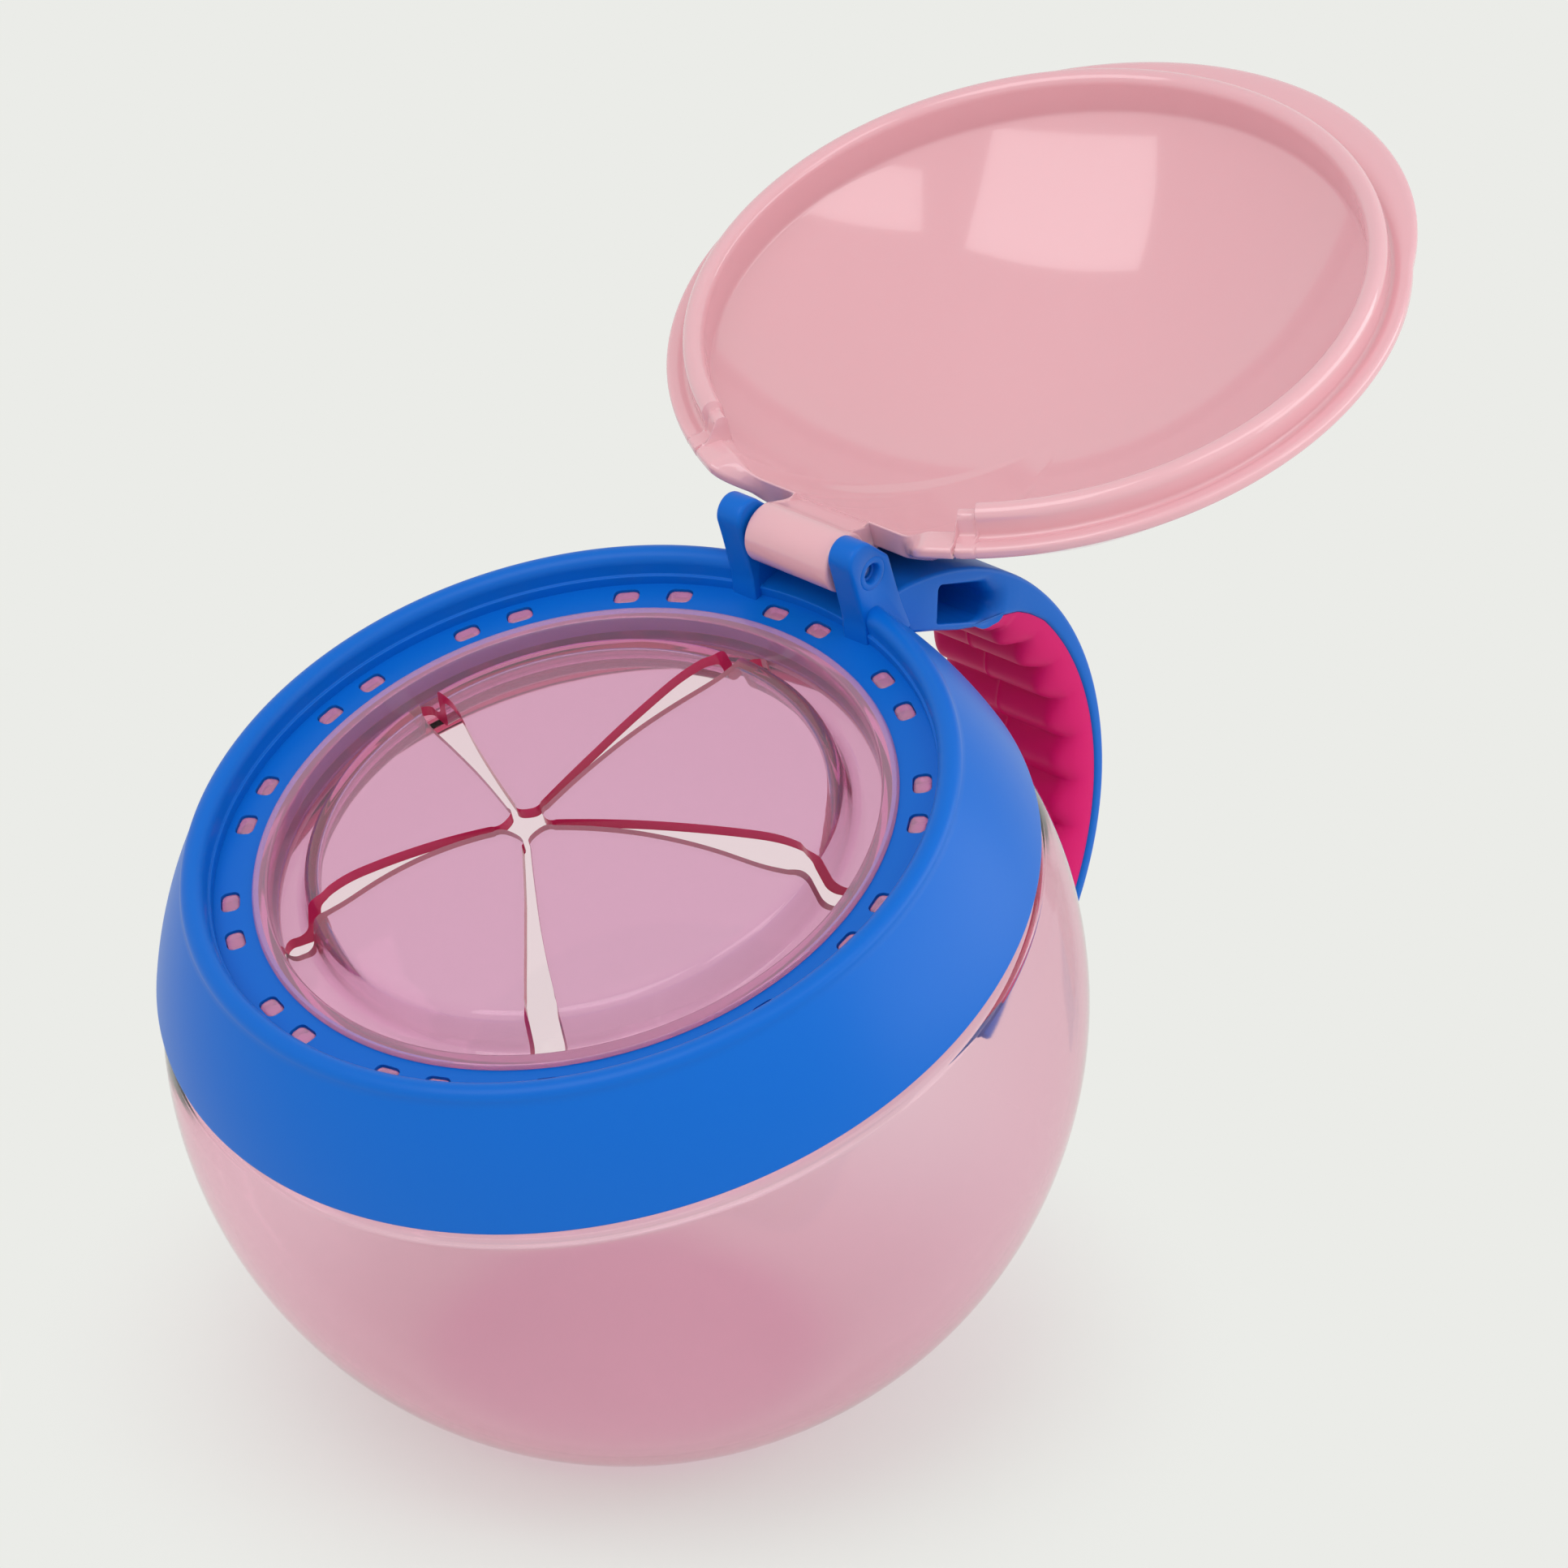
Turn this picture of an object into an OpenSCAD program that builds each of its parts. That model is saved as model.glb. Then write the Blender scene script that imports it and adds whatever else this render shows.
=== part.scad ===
// Toddler snack container: a clear ball-shaped cup with a tilted mouth, a twist-off collar that
// carries a flapped membrane, a strap handle with a soft grip, and a domed lid on a hinge pin.
// Millimetres, +Z up. The origin is the centre of the flat foot that the cup stands on.
// The mouth, collar, membrane and lid share one axis, the ring axis. It leans towards -X by tilt.
// Their sizes are radii r from that axis and heights h above the top of the collar's flange.

/* [Ball] */
// Outer diameter of the ball that the cup and the closed lid share
ball_d = 95; // [92:0.5:99]
// Diameter of the flat foot under the cup
foot_d = 42; // [34:1:48]
// Wall of the cup
cup_wall = 2.2; // [1.6:0.1:2.8]
// Lean of the mouth towards the front, in degrees
tilt = 18; // [12:1:22]

/* [Collar] */
// Height of the flange's top above the ball's centre, along the ring axis
flange_rise = 24; // [23:0.25:25]
// Thickness of the flange that carries the membrane
flange_t = 1.8; // [1.4:0.1:2.4]
// How far the collar reaches below the flange's top
skirt_depth = 10; // [8.5:0.25:12]
// How far the collar stands proud of the ball
collar_proud = 0.6; // [0.4:0.05:1.2]
// Wall of the collar's skirt
skirt_wall = 1.8; // [1.4:0.1:2.2]
// Height of the rim above the flange's top
rim_rise = 3.6; // [3:0.1:4.2]
// Width of the rim, whose top is round
rim_w = 2.5; // [2:0.1:3]
// Height of the step at the foot of the rim bore
rim_step_h = 1.1; // [0.6:0.1:1.6]
// How far that step reaches in
rim_step_in = 0.3; // [0.1:0.05:0.6]
// Width of the flange, from the rim's bore in to the hand opening
flange_w = 5.1; // [4.6:0.1:5.8]
// How far the cup's neck lies outside the rim's bore
neck_out = 0.8; // [0.3:0.1:1.1]
// Wall of the cup's neck
neck_wall = 2; // [1.6:0.1:2.6]
// Wall of the sleeve inside the collar that turns on the neck
sleeve_wall = 1.6; // [1.2:0.1:2]

/* [Keys] */
// Number of pairs of key holes round the flange
key_pairs = 13; // [9:1:15]
// Distance of the key holes' circle inside the rim's bore
key_in = 2.1; // [1.8:0.1:2.5]
// Distance between the two holes of a pair
key_gap = 5.8; // [5:0.1:6.6]
// Length of a key hole along the circle
key_len = 2.8; // [2.2:0.1:3.2]
// Width of a key hole across the flange
key_w = 2; // [1.5:0.1:2.2]
// Corner radius of a key hole
key_corner = 0.6; // [0.3:0.05:0.7]

/* [Membrane] */
// Thickness of the soft membrane in the flaps
flap_t = 1.7; // [1.3:0.1:2]
// How far the lip laps over the flange
lip_lap = 0.8; // [0.5:0.1:1.2]
// Height of the lip over the flange
lip_h = 0.6; // [0.4:0.05:1]
// Distance from the hand opening in to the trough, which is the outer wall's thickness
trough_in = 1; // [0.7:0.1:1.4]
// Depth of the trough below the flange's top
trough_depth = 2.5; // [2:0.1:3.2]
// Distance from the trough's outer wall in to the line where the flaps bend
bend_in = 1.4; // [1.3:0.1:1.8]
// Distance from that line in to the edge of the raised plate
plate_in = 2.9; // [2.6:0.1:3.6]
// Height of the plate's edge above the flange's top
plate_rise = 1.8; // [1.2:0.1:2.6]
// Height of the plate's middle above the flange's top
plate_crown = 2.8; // [2:0.1:3.4]
// Thickness of the sealing skirt under the flange
seal_t = 1; // [0.8:0.1:1.4]

/* [Slits] */
// Direction of the outer end of the first slit, from the hinge side
slit_turn = 3; // [-10:1:10]
// Distance that the star opening lies in front of the ring axis
star_front = 3.2; // [0:0.1:4]
// Distance that the star opening lies to the side of the ring axis
star_side = 3.2; // [0:0.1:4]
// Radius of the star opening where the flaps' tips meet
star_r = 1.6; // [1.2:0.1:2.2]
// Gap of a slit near the star
slit_in = 0.8; // [0.6:0.05:1.2]
// Gap of a slit at the edge of the plate
slit_out = 5; // [3.4:0.1:5.6]
// Gap of a slit where it ends in the trough
slit_end = 2.6; // [1.8:0.1:3]

/* [Lid] */
// Wall of the lid's dome
lid_wall = 1.8; // [1.4:0.1:2.2]
// How far the lid's rim reaches outside the collar rim's bore
lid_over = 1.8; // [1.5:0.1:2.2]
// Height of the lid's rim
lid_rim_h = 1.7; // [1.3:0.1:2.2]
// Width of the lid's snap ridge
ridge_w = 2.3; // [1.6:0.1:2.8]
// How far the snap ridge reaches below the lid's rim
ridge_drop = 3.1; // [2.2:0.1:3.3]
// Gap in the snap ridge at the hinge
ridge_gap = 36; // [30:1:44]
// How far the crescent thumb tab stands out at the front
tab_reach = 3.4; // [2.4:0.1:4.5]
// How much less round the thumb tab's outline is than the lid's rim, on the radius
tab_in = 3.9; // [3:0.1:5]
// Thickness of the thumb tab
tab_t = 1.8; // [1.4:0.1:2.4]
// Opening of the lid as it lies back, in degrees
lid_open = 181.5; // [150:0.5:181.5]

/* [Hinge] */
// Distance of the hinge pin outside the rim's bore
hinge_out = 1.45; // [1.3:0.05:1.7]
// Height of the hinge pin above the flange's top
hinge_rise = 7.3; // [7.2:0.05:7.8]
// Diameter of the hinge pin
pin_d = 1.6; // [1.2:0.1:2]
// Length of the hinge pin
pin_len = 16.6; // [15:0.2:17.4]
// Gap between the two ears
ear_gap = 12; // [11:0.5:13]
// Thickness of an ear
ear_t = 3; // [2.5:0.1:3.5]
// Width of an ear
ear_w = 5.7; // [5.4:0.1:6.2]
// Height of an ear's round top above the pin
ear_top = 1.4; // [0.9:0.1:1.8]
// Radius of the rounded front of an ear's top
ear_nose = 2; // [1.6:0.1:2.4]
// Radius of the bend in an ear's back, behind the pin
ear_heel = 0.8; // [0.5:0.1:1.2]
// Radius of the lid's knuckle
knuckle_r = 3.9; // [3.2:0.1:4]

/* [Handle] */
// Width of the strap handle
handle_w = 18; // [15:0.5:19]
// Space between the ball and the strap, where the grip and the fingers go
strap_clear = 17; // [15:0.5:20]
// Height of the handle's round centre above the ball's centre
handle_up = 3.6; // [2:0.2:5]
// Outer radius of the strap
handle_r = 33; // [32:0.5:36]
// Depth of the arm's top below the hinge pin
arm_drop = 3.6; // [3.4:0.1:4.4]
// Thickness of the strap at its back
strap_t = 1.5; // [1.2:0.1:2.4]
// Direction of the strap's lower end, below the level, in degrees
strap_end = 57; // [45:1:62]
// Thickness of the soft grip in its valleys
grip_t = 3.2; // [2.6:0.1:3.4]
// Height of the finger ridges on the grip
ridge_h = 1.1; // [0.6:0.1:1.2]
// Thickness of the grip where it runs out at its lower end
grip_end_t = 0.4; // [0.4:0.1:1]
// Rounding of the grip's two long edges
grip_round = 2.4; // [1.6:0.1:2.6]
// Distance from one finger ridge to the next
ridge_pitch = 6; // [5:0.25:8]
// Length of the core-out pocket in the arm
pocket_len = 8; // [6:0.5:9]
// Height of the core-out pocket
pocket_h = 4; // [3:0.2:4.4]
// Depth of the core-out pocket
pocket_depth = 14; // [8:0.5:15]

/* [Clearances] */
// Running clearance between the neck and the collar's sleeve, on the radius
neck_clear = 0.3; // [0.3:0.05:0.5]
// Gap under the collar, above the cup's shoulder
shoulder_clear = 0.3; // [0.2:0.05:0.6]
// Gap between the neck's end and the sealing skirt
seal_clear = 0.2; // [0.15:0.05:0.5]
// Gap between the closed lid and the rim
lid_clear = 0.1; // [0.1:0.05:0.3]
// Clearance of the snap ridge in the rim bore, on the radius
snap_clear = 0.4; // [0.4:0.05:0.6]
// Running clearance of the knuckle on the pin, on the radius
pin_clear = 0.05; // [0.03:0.01:0.1]
// Clearance of the lid beside and round the ears
ear_clear = 0.35; // [0.3:0.05:0.6]
// Clearance of the keys in their holes and of the trough in the hand opening, on each side
key_clear = 0.02; // [0.01:0.01:0.05]
// Gap between a flap and the membrane ring at rest
bend_clear = 0.3; // [0.2:0.05:0.4]
// Relief of the ring's lower inner edge, which lets the flaps bend down past it
bend_relief = 0.6; // [0.5:0.05:0.8]
// Inset of the grip from the strap's sides
grip_inset = 0.2; // [0.1:0.05:0.4]

/* [Hidden] */
$fn = 96;

ball_r = ball_d / 2;
foot_r = foot_d / 2;
// Height of the ball's centre over the foot
centre_z = sqrt(ball_r * ball_r - foot_r * foot_r);
collar_r = ball_r + collar_proud;
// The rim's outer side lies on the collar's ball; the other radii follow inwards from it
rim_round = rim_w / 2;
rim_out = at_height(collar_r, flange_rise + rim_rise - rim_round);
rim_r = rim_out - rim_w;
mouth_r = rim_r - flange_w;
key_ring_r = rim_r - key_in;
neck_r = rim_r + neck_out;
sleeve_in = neck_r + neck_clear;
// Top of the cup's neck and its shoulder under the collar
neck_top = -flange_t - seal_t - seal_clear;
shoulder = -skirt_depth - shoulder_clear;
// Underside of the closed lid's rim
lid_seat = rim_rise + lid_clear;
lid_rim_r = rim_r + lid_over;
hinge_back = rim_r + hinge_out;
ridge_out = rim_r - snap_clear;
ridge_in = ridge_out - ridge_w;
ear_back = hinge_back + ear_w / 2;
far = 3 * ball_r;

// Ball radius at a height on the ring axis, measured from the ball's centre
function at_height(r, z) = sqrt(r * r - z * z);

// Puts children into the ring frame: +Z is the ring axis, the flange's top is at 0
module ring_frame() {
    translate([0, 0, centre_z]) rotate([0, -tilt, 0]) translate([0, 0, flange_rise]) children();
}

// Puts children on the hinge pin's line, which runs along Y
module on_hinge() {
    translate([hinge_back, 0, hinge_rise]) rotate([90, 0, 0]) children();
}

// ---------------------------------------------------------------- cup
// The cavity follows the ball, with a flat floor over the foot
module cup_cavity() {
    intersection() {
        union() {
            intersection() {
                translate([0, 0, centre_z]) sphere(ball_r - cup_wall, $fn = 128);
                ring_frame() translate([0, 0, shoulder - cup_wall - far])
                    cylinder(r = far, h = far);
            }
            ring_frame() translate([0, 0, shoulder - cup_wall - 12])
                cylinder(r = neck_r - neck_wall, h = neck_top - shoulder + cup_wall + 24);
        }
        translate([-far, -far, cup_wall]) cube(2 * far);
    }
}

module cup_body() {
    color("pink", 0.6) difference() {
        intersection() {
            union() {
                intersection() {
                    translate([0, 0, centre_z]) sphere(ball_r, $fn = 128);
                    ring_frame() translate([0, 0, shoulder - far]) cylinder(r = far, h = far);
                }
                ring_frame() translate([0, 0, shoulder - 6])
                    cylinder(r = neck_r, h = neck_top - shoulder + 6);
            }
            translate([-far, -far, 0]) cube(2 * far);
        }
        cup_cavity();
    }
}

// ---------------------------------------------------------------- collar
// Half section of the collar: outer skirt on a ball, sleeve, flange and rounded rim
module collar_section() {
    difference() {
        intersection() {
            translate([0, -flange_rise]) circle(collar_r, $fn = 128);
            translate([mouth_r, -skirt_depth])
                square([far, skirt_depth + rim_rise - rim_round]);
        }
        // hollow under the flange, between the skirt and the sleeve
        difference() {
            intersection() {
                translate([0, -flange_rise]) circle(collar_r - skirt_wall, $fn = 128);
                translate([0, -skirt_depth - 1]) square([far, skirt_depth + 1 - flange_t]);
            }
            translate([sleeve_in, -skirt_depth + 1]) square([sleeve_wall, skirt_depth]);
        }
        translate([0, 0]) square([rim_r - rim_step_in, far]);
        translate([0, rim_step_h]) square([rim_r, far]);
    }
    translate([rim_r + rim_round, rim_rise - rim_round]) circle(rim_round, $fn = 48);
}

// Outline of one key hole, long along the circle
module key_outline(grow) {
    l = key_len + 2 * grow;
    w = key_w + 2 * grow;
    square([w - 2 * key_corner, l], center = true);
    square([w, l - 2 * key_corner], center = true);
    for (sx = [-1, 1], sy = [-1, 1])
        translate([sx * (w / 2 - key_corner), sy * (l / 2 - key_corner)])
            circle(key_corner, $fn = 24);
}

// All key holes, or the keys that fill them
module keys(z, h, grow) {
    half = asin(key_gap / 2 / key_ring_r);
    for (k = [0 : key_pairs - 1], s = [-1, 1])
        rotate([0, 0, 360 * k / key_pairs + s * half])
            translate([key_ring_r, 0, z]) linear_extrude(h) key_outline(grow);
}

// Outline of an ear, seen from the side: a round nose at the front of its top, a back that slopes
// down to the heel behind the pin, and straight flanks below
module ear_outline() {
    half = ear_w / 2;
    translate([hinge_back, hinge_rise]) hull() {
        translate([ear_nose - half, ear_top + half - ear_nose]) circle(ear_nose, $fn = 64);
        translate([half - ear_heel, 0]) circle(ear_heel, $fn = 48);
        translate([-half, -hinge_rise - flange_t / 2]) square([ear_w, 1]);
    }
}

module ears() {
    for (s = [-1, 1]) translate([0, s * (ear_gap + ear_t) / 2, 0])
        rotate([90, 0, 0]) translate([0, 0, -ear_t / 2]) linear_extrude(ear_t) ear_outline();
}

module collar() {
    color("royalblue") ring_frame() difference() {
        union() {
            difference() {
                rotate_extrude($fn = 128) collar_section();
                // the rim is cut away between the ears, where the knuckle turns
                translate([rim_r - 2, -ear_gap / 2, rim_step_h])
                    cube([12, ear_gap, rim_rise]);
            }
            ears();
        }
        keys(-flange_t - 1, flange_t + 2, 0);
        on_hinge() translate([0, 0, -ear_gap]) cylinder(r = pin_d / 2 + 0.01, h = 2 * ear_gap);
    }
}

// ---------------------------------------------------------------- handle
// Middle of the strap's round, and the height of the arm's top over it, which the lid clears
handle_back = ball_r + strap_clear - (handle_r - strap_t);
hinge_up = sin(tilt) * hinge_back + cos(tilt) * (flange_rise + hinge_rise);
shoulder_h = hinge_up - arm_drop - handle_up;
// The strap's outer line: an arc whose upper half rises to the shoulder
function strap_outer(t) = [handle_back + handle_r * cos(t),
                           handle_up + (t > 0 ? shoulder_h : handle_r) * sin(t)];
function strap_inner(t, cut) = [handle_back + (handle_r - strap_t - cut) * cos(t),
                                handle_up + (handle_r - strap_t - cut) * sin(t)];
// Where the arm's underside runs into the strap, in degrees up from the level
arm_join = 44;
// The arm's underside from the collar to the strap, as shares of the strap's radius
function arm_under(k) = strap_inner(arm_join, 0) + handle_r * [
    [-0.667, 0.209], [-0.542, 0.173], [-0.43, 0.132], [-0.345, 0.109], [-0.29, 0.105],
    [-0.205, 0.097], [-0.13, 0.081], [-0.073, 0.052]][k];

module strap_outline() {
    polygon(concat(
        [for (t = [-strap_end : 3 : 96]) strap_outer(t)],
        [for (k = [0 : 7]) arm_under(k)],
        [for (t = [arm_join : -2 : -strap_end]) strap_inner(t, 0)]));
    tip = (strap_outer(-strap_end) + strap_inner(-strap_end, 0)) / 2;
    translate(tip) circle(strap_t / 2, $fn = 24);
}

// Core-out pocket in the arm's side, with a square inner end and a round outer end
module pocket_outline() {
    translate([handle_back + 5.4, handle_up + shoulder_h - 3.8]) rotate(-18) {
        translate([0, -pocket_h / 2]) square([pocket_len, pocket_h]);
        translate([pocket_len, 0]) circle(pocket_h / 2, $fn = 32);
    }
}

// Lays an XZ outline across the handle, centred on the mirror plane
module across(w) {
    rotate([90, 0, 0]) translate([0, 0, -w / 2]) linear_extrude(w) children();
}

module handle_frame() {
    color("royalblue") difference() {
        translate([0, 0, centre_z]) difference() {
            across(handle_w) strap_outline();
            translate([0, -handle_w / 2 + pocket_depth, 0])
                rotate([90, 0, 0]) linear_extrude(pocket_depth + 1) pocket_outline();
            sphere(collar_r, $fn = 128);
        }
        // the arm starts at the back of the ears
        ring_frame() translate([ear_back - 30, -far / 2, -4]) cube([30, far, 40]);
    }
}

// The grip thins out at its lower end, and its ridges fade out where it ends under the arm
grip_low = -50;
grip_high = 62;
function fade(t) = max(0, min(1, (t - grip_low) / 10));
function ridge_fade(t) = max(0, min(1, (grip_high - t) / 6));
// Round ridges with narrow valleys follow each other at ridge_pitch along the strap's inner line
function ridge(t) = abs(sin(180 * (t * PI / 180) * (handle_r - strap_t) / ridge_pitch));
function grip_cut(t) =
    grip_end_t + fade(t) * (grip_t - grip_end_t + ridge_h * ridge_fade(t) * ridge(t));

// The grip's inner edges are rounded along the whole strap
module grip_round_bar() {
    deep = grip_t + ridge_h + 1;
    half = handle_w / 2 - grip_inset;
    translate([handle_back, 0, handle_up]) rotate([90, 0, 0])
        rotate_extrude($fn = 128) translate([handle_r - strap_t - deep + 1, 0]) {
            translate([grip_round, -half]) square([deep, 2 * half]);
            translate([0, -half + grip_round]) square([grip_round, 2 * (half - grip_round)]);
            for (s = [-1, 1]) translate([grip_round, s * (half - grip_round)])
                circle(grip_round, $fn = 48);
        }
}

module handle_grip() {
    color("mediumvioletred") translate([0, 0, centre_z]) intersection() {
        across(handle_w) polygon(concat(
            [for (t = [grip_low : 2 : arm_join]) strap_inner(t, 0)],
            [for (k = [7 : -1 : 4]) arm_under(k)],
            [for (t = [grip_high : -1 : grip_low]) strap_inner(t, grip_cut(t))]));
        grip_round_bar();
    }
}

// ---------------------------------------------------------------- membrane
lip_r = mouth_r + lip_lap;
trough_r = mouth_r - trough_in;
bend_r = trough_r - bend_in;
plate_r = bend_r - plate_in;
star = [-star_front, star_side];

// Half section of the fixed ring: lip, trough wall, seat in the flange, sealing skirt below
module membrane_ring_section() {
    ring_in = bend_r + bend_clear;
    floor_top = -trough_depth;
    floor_low = -trough_depth - flap_t;
    polygon([
        [ring_in, floor_top], [trough_r - 1, floor_top], [trough_r - 0.3, floor_top + 0.8],
        [trough_r, lip_h - 0.2], [trough_r + 0.4, lip_h], [lip_r - 0.4, lip_h * 0.7], [lip_r, 0],
        [mouth_r - key_clear, 0], [mouth_r - key_clear, -flange_t],
        [rim_r - rim_step_in - 0.2, -flange_t], [rim_r - rim_step_in - 0.2, -flange_t - seal_t],
        [trough_r + 0.6, -flange_t - seal_t], [trough_r, floor_low],
        [ring_in + bend_relief, floor_low], [ring_in, floor_low + flap_t * 0.55]]);
}

module membrane_ring() {
    color("hotpink", 0.7) ring_frame() {
        rotate_extrude($fn = 128) membrane_ring_section();
        keys(-flange_t - seal_t / 2, flange_t + seal_t / 2, -key_clear);
    }
}

// Half section of the plate, its wall down into the trough and the floor to the round bend edge
module flap_section() {
    wall_top = plate_r - 0.6;
    foot = plate_r + 0.9;
    bend_mid = bend_r - flap_t / 2;
    polygon(concat(
        [[0, plate_crown], [wall_top, plate_rise], [plate_r, plate_rise - 0.5],
         [foot, -trough_depth]],
        [for (t = [90 : -20 : -90])
            [bend_mid, -trough_depth - flap_t / 2] + flap_t / 2 * [cos(t), sin(t)]],
        [[foot - flap_t + 0.5, -trough_depth - flap_t],
         [plate_r - flap_t, plate_rise - flap_t - 0.3], [0, plate_crown - flap_t]]));
}

// Directions of the slits' outer ends and their sideways bow, as the soft plate shows them
function slit_dir(k) = slit_turn + 72 * k + [0, 0, -2, -4, -6][k % 5];
function slit_bow(k) = [0.9, 0, -1.8, 0, 1.6][k % 5];

// A point on one side of slit k, at share s of its length; side is -1 or 1
function slit_pt(k, s, side) =
    let (dir = slit_dir(k),
         end = plate_r * [cos(dir), sin(dir)],
         run = end - star,
         along = run / norm(run),
         left = [-along[1], along[0]],
         gap = slit_in + (slit_out - slit_in) * pow(s, 2.2))
    star + run * s + left * (slit_bow(k) * 4 * s * (1 - s) + side * gap / 2);

// The slit's last stretch, down the plate's wall and across the trough's floor
function slit_foot(k, r, gap, side) =
    let (dir = slit_dir(k)) [r * cos(dir) - side * gap / 2 * sin(dir),
                             r * sin(dir) + side * gap / 2 * cos(dir)];

// Outline of flap n, from slit n - 1 round to slit n
module flap_outline(n) {
    a = n - 1;
    b = n;
    steps = 10;
    dir_a = slit_dir(a);
    dir_b = slit_dir(b);
    half_a = asin(slit_end / 2 / bend_r);
    difference() {
        polygon(concat(
            [for (i = [0 : steps]) slit_pt(a, i / steps, 1)],
            [slit_foot(a, plate_r + 1.2, (slit_out + slit_end) / 2, 1),
             slit_foot(a, bend_r - 1, slit_end, 1)],
            [for (i = [0 : 12])
                let (t = dir_a + half_a + (dir_b - dir_a - 2 * half_a) * i / 12)
                (bend_r + 1) * [cos(t), sin(t)]],
            [slit_foot(b, bend_r - 1, slit_end, -1),
             slit_foot(b, plate_r + 1.2, (slit_out + slit_end) / 2, -1)],
            [for (i = [steps : -1 : 0]) slit_pt(b, i / steps, -1)]));
        translate(star) circle(star_r, $fn = 32);
    }
}

module flap(n) {
    color("hotpink", 0.7) ring_frame() intersection() {
        rotate_extrude($fn = 128) flap_section();
        translate([0, 0, -trough_depth - flap_t - 1])
            linear_extrude(trough_depth + flap_t + plate_crown + 2) flap_outline(n);
    }
}
module flap_1() { flap(1); }
module flap_2() { flap(2); }
module flap_3() { flap(3); }
module flap_4() { flap(4); }
module flap_5() { flap(5); }

// ---------------------------------------------------------------- lid
// Half section of the closed lid: dome, rim and rounded snap ridge
module lid_section(with_ridge) {
    intersection() {
        difference() {
            translate([0, -flange_rise]) circle(ball_r, $fn = 128);
            translate([0, -flange_rise]) circle(ball_r - lid_wall, $fn = 128);
        }
        translate([0, lid_seat]) square(far);
    }
    translate([ridge_in, lid_seat]) square([lid_rim_r - lid_rim_h / 2 - ridge_in, lid_rim_h]);
    translate([lid_rim_r - lid_rim_h / 2, lid_seat + lid_rim_h / 2])
        circle(lid_rim_h / 2, $fn = 32);
    if (with_ridge) {
        translate([ridge_in, lid_seat - ridge_drop + ridge_w / 2])
            square([ridge_w, ridge_drop - ridge_w / 2 + lid_rim_h]);
        translate([ridge_in + ridge_w / 2, lid_seat - ridge_drop + ridge_w / 2])
            circle(ridge_w / 2, $fn = 32);
    }
}

// Crescent that stands out at the front for the thumb
module thumb_tab() {
    tab_r = lid_rim_r - tab_in;
    translate([0, 0, lid_seat]) linear_extrude(tab_t) difference() {
        translate([-(lid_rim_r + tab_reach - tab_r), 0]) circle(tab_r, $fn = 96);
        circle(lid_rim_r - 1, $fn = 96);
        translate([0, -far]) square(2 * far);
    }
}

// Knuckle on the pin and the web that carries it, in the hinge's own plane
module knuckle_outline() {
    circle(knuckle_r, $fn = 64);
    polygon([[-5.4, 2.2], [-knuckle_r * 0.26, knuckle_r * 0.966], [0, 0],
             [0, lid_seat - hinge_rise], [-5, lid_seat - hinge_rise]]);
}

module closed_lid() {
    width = ear_gap - 2 * ear_clear;
    difference() {
        union() {
            rotate_extrude($fn = 128) lid_section(false);
            difference() {
                rotate_extrude($fn = 128) lid_section(true);
                translate([0, -ridge_gap / 2, lid_seat - ridge_drop - 1])
                    cube([far, ridge_gap, ridge_drop + 1]);
            }
            thumb_tab();
            on_hinge() translate([0, 0, -width / 2]) linear_extrude(width) knuckle_outline();
        }
        // notches for the ears
        for (s = [-1, 1]) translate([0, s * (ear_gap + ear_t) / 2, 0]) {
            slot = ear_t + 2 * ear_clear;
            translate([hinge_back, slot / 2, hinge_rise]) rotate([90, 0, 0])
                cylinder(r = ear_top + ear_w / 2 + ear_clear + 0.2, h = slot, $fn = 64);
            translate([hinge_back - ear_w / 2, -slot / 2, 0]) cube([20, slot, 30]);
        }
        on_hinge() translate([0, 0, -ear_gap]) cylinder(r = pin_d / 2 + pin_clear, h = 2 * ear_gap);
    }
}

module lid() {
    color("lightpink", 0.85) ring_frame()
        translate([hinge_back, 0, hinge_rise]) rotate([0, lid_open, 0])
            translate([-hinge_back, 0, -hinge_rise]) closed_lid();
}

module hinge_pin() {
    color("silver") ring_frame() on_hinge()
        translate([0, 0, -pin_len / 2]) cylinder(r = pin_d / 2, h = pin_len);
}

cup_body();
collar();
handle_frame();
handle_grip();
membrane_ring();
flap_1();
flap_2();
flap_3();
flap_4();
flap_5();
lid();
hinge_pin();
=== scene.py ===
"""Dresses the packed toddler snack container and sets up its studio picture.

All shapes are surfaces worked out from the sizes in the property groups below. Lengths are kept in metres,
and the shape functions work in millimetres, in one of two frames:

world  +Z up, +X towards the hinge, the origin in the middle of the cup's foot.
ring   the frame of the tilted mouth: third axis up along the ring axis, origin on top of the collar's flange.
"""

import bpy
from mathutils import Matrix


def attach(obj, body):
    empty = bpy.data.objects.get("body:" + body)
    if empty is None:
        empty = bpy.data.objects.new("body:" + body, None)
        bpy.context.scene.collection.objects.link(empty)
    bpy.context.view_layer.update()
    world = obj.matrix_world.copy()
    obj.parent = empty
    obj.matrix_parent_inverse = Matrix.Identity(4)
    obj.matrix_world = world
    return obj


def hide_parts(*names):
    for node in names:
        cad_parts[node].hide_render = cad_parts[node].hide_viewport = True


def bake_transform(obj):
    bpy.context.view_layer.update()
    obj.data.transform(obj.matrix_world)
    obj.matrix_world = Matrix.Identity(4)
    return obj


bl_info = {
    "name": "Toddler snack container",
    "version": (1, 0, 0),
    "blender": (4, 5, 0),
    "location": "3D View > Sidebar > Snack container",
    "description": "Dresses the packed snack container and sets up its studio",
    "category": "Add Mesh",
}

import math
from types import SimpleNamespace

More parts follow.
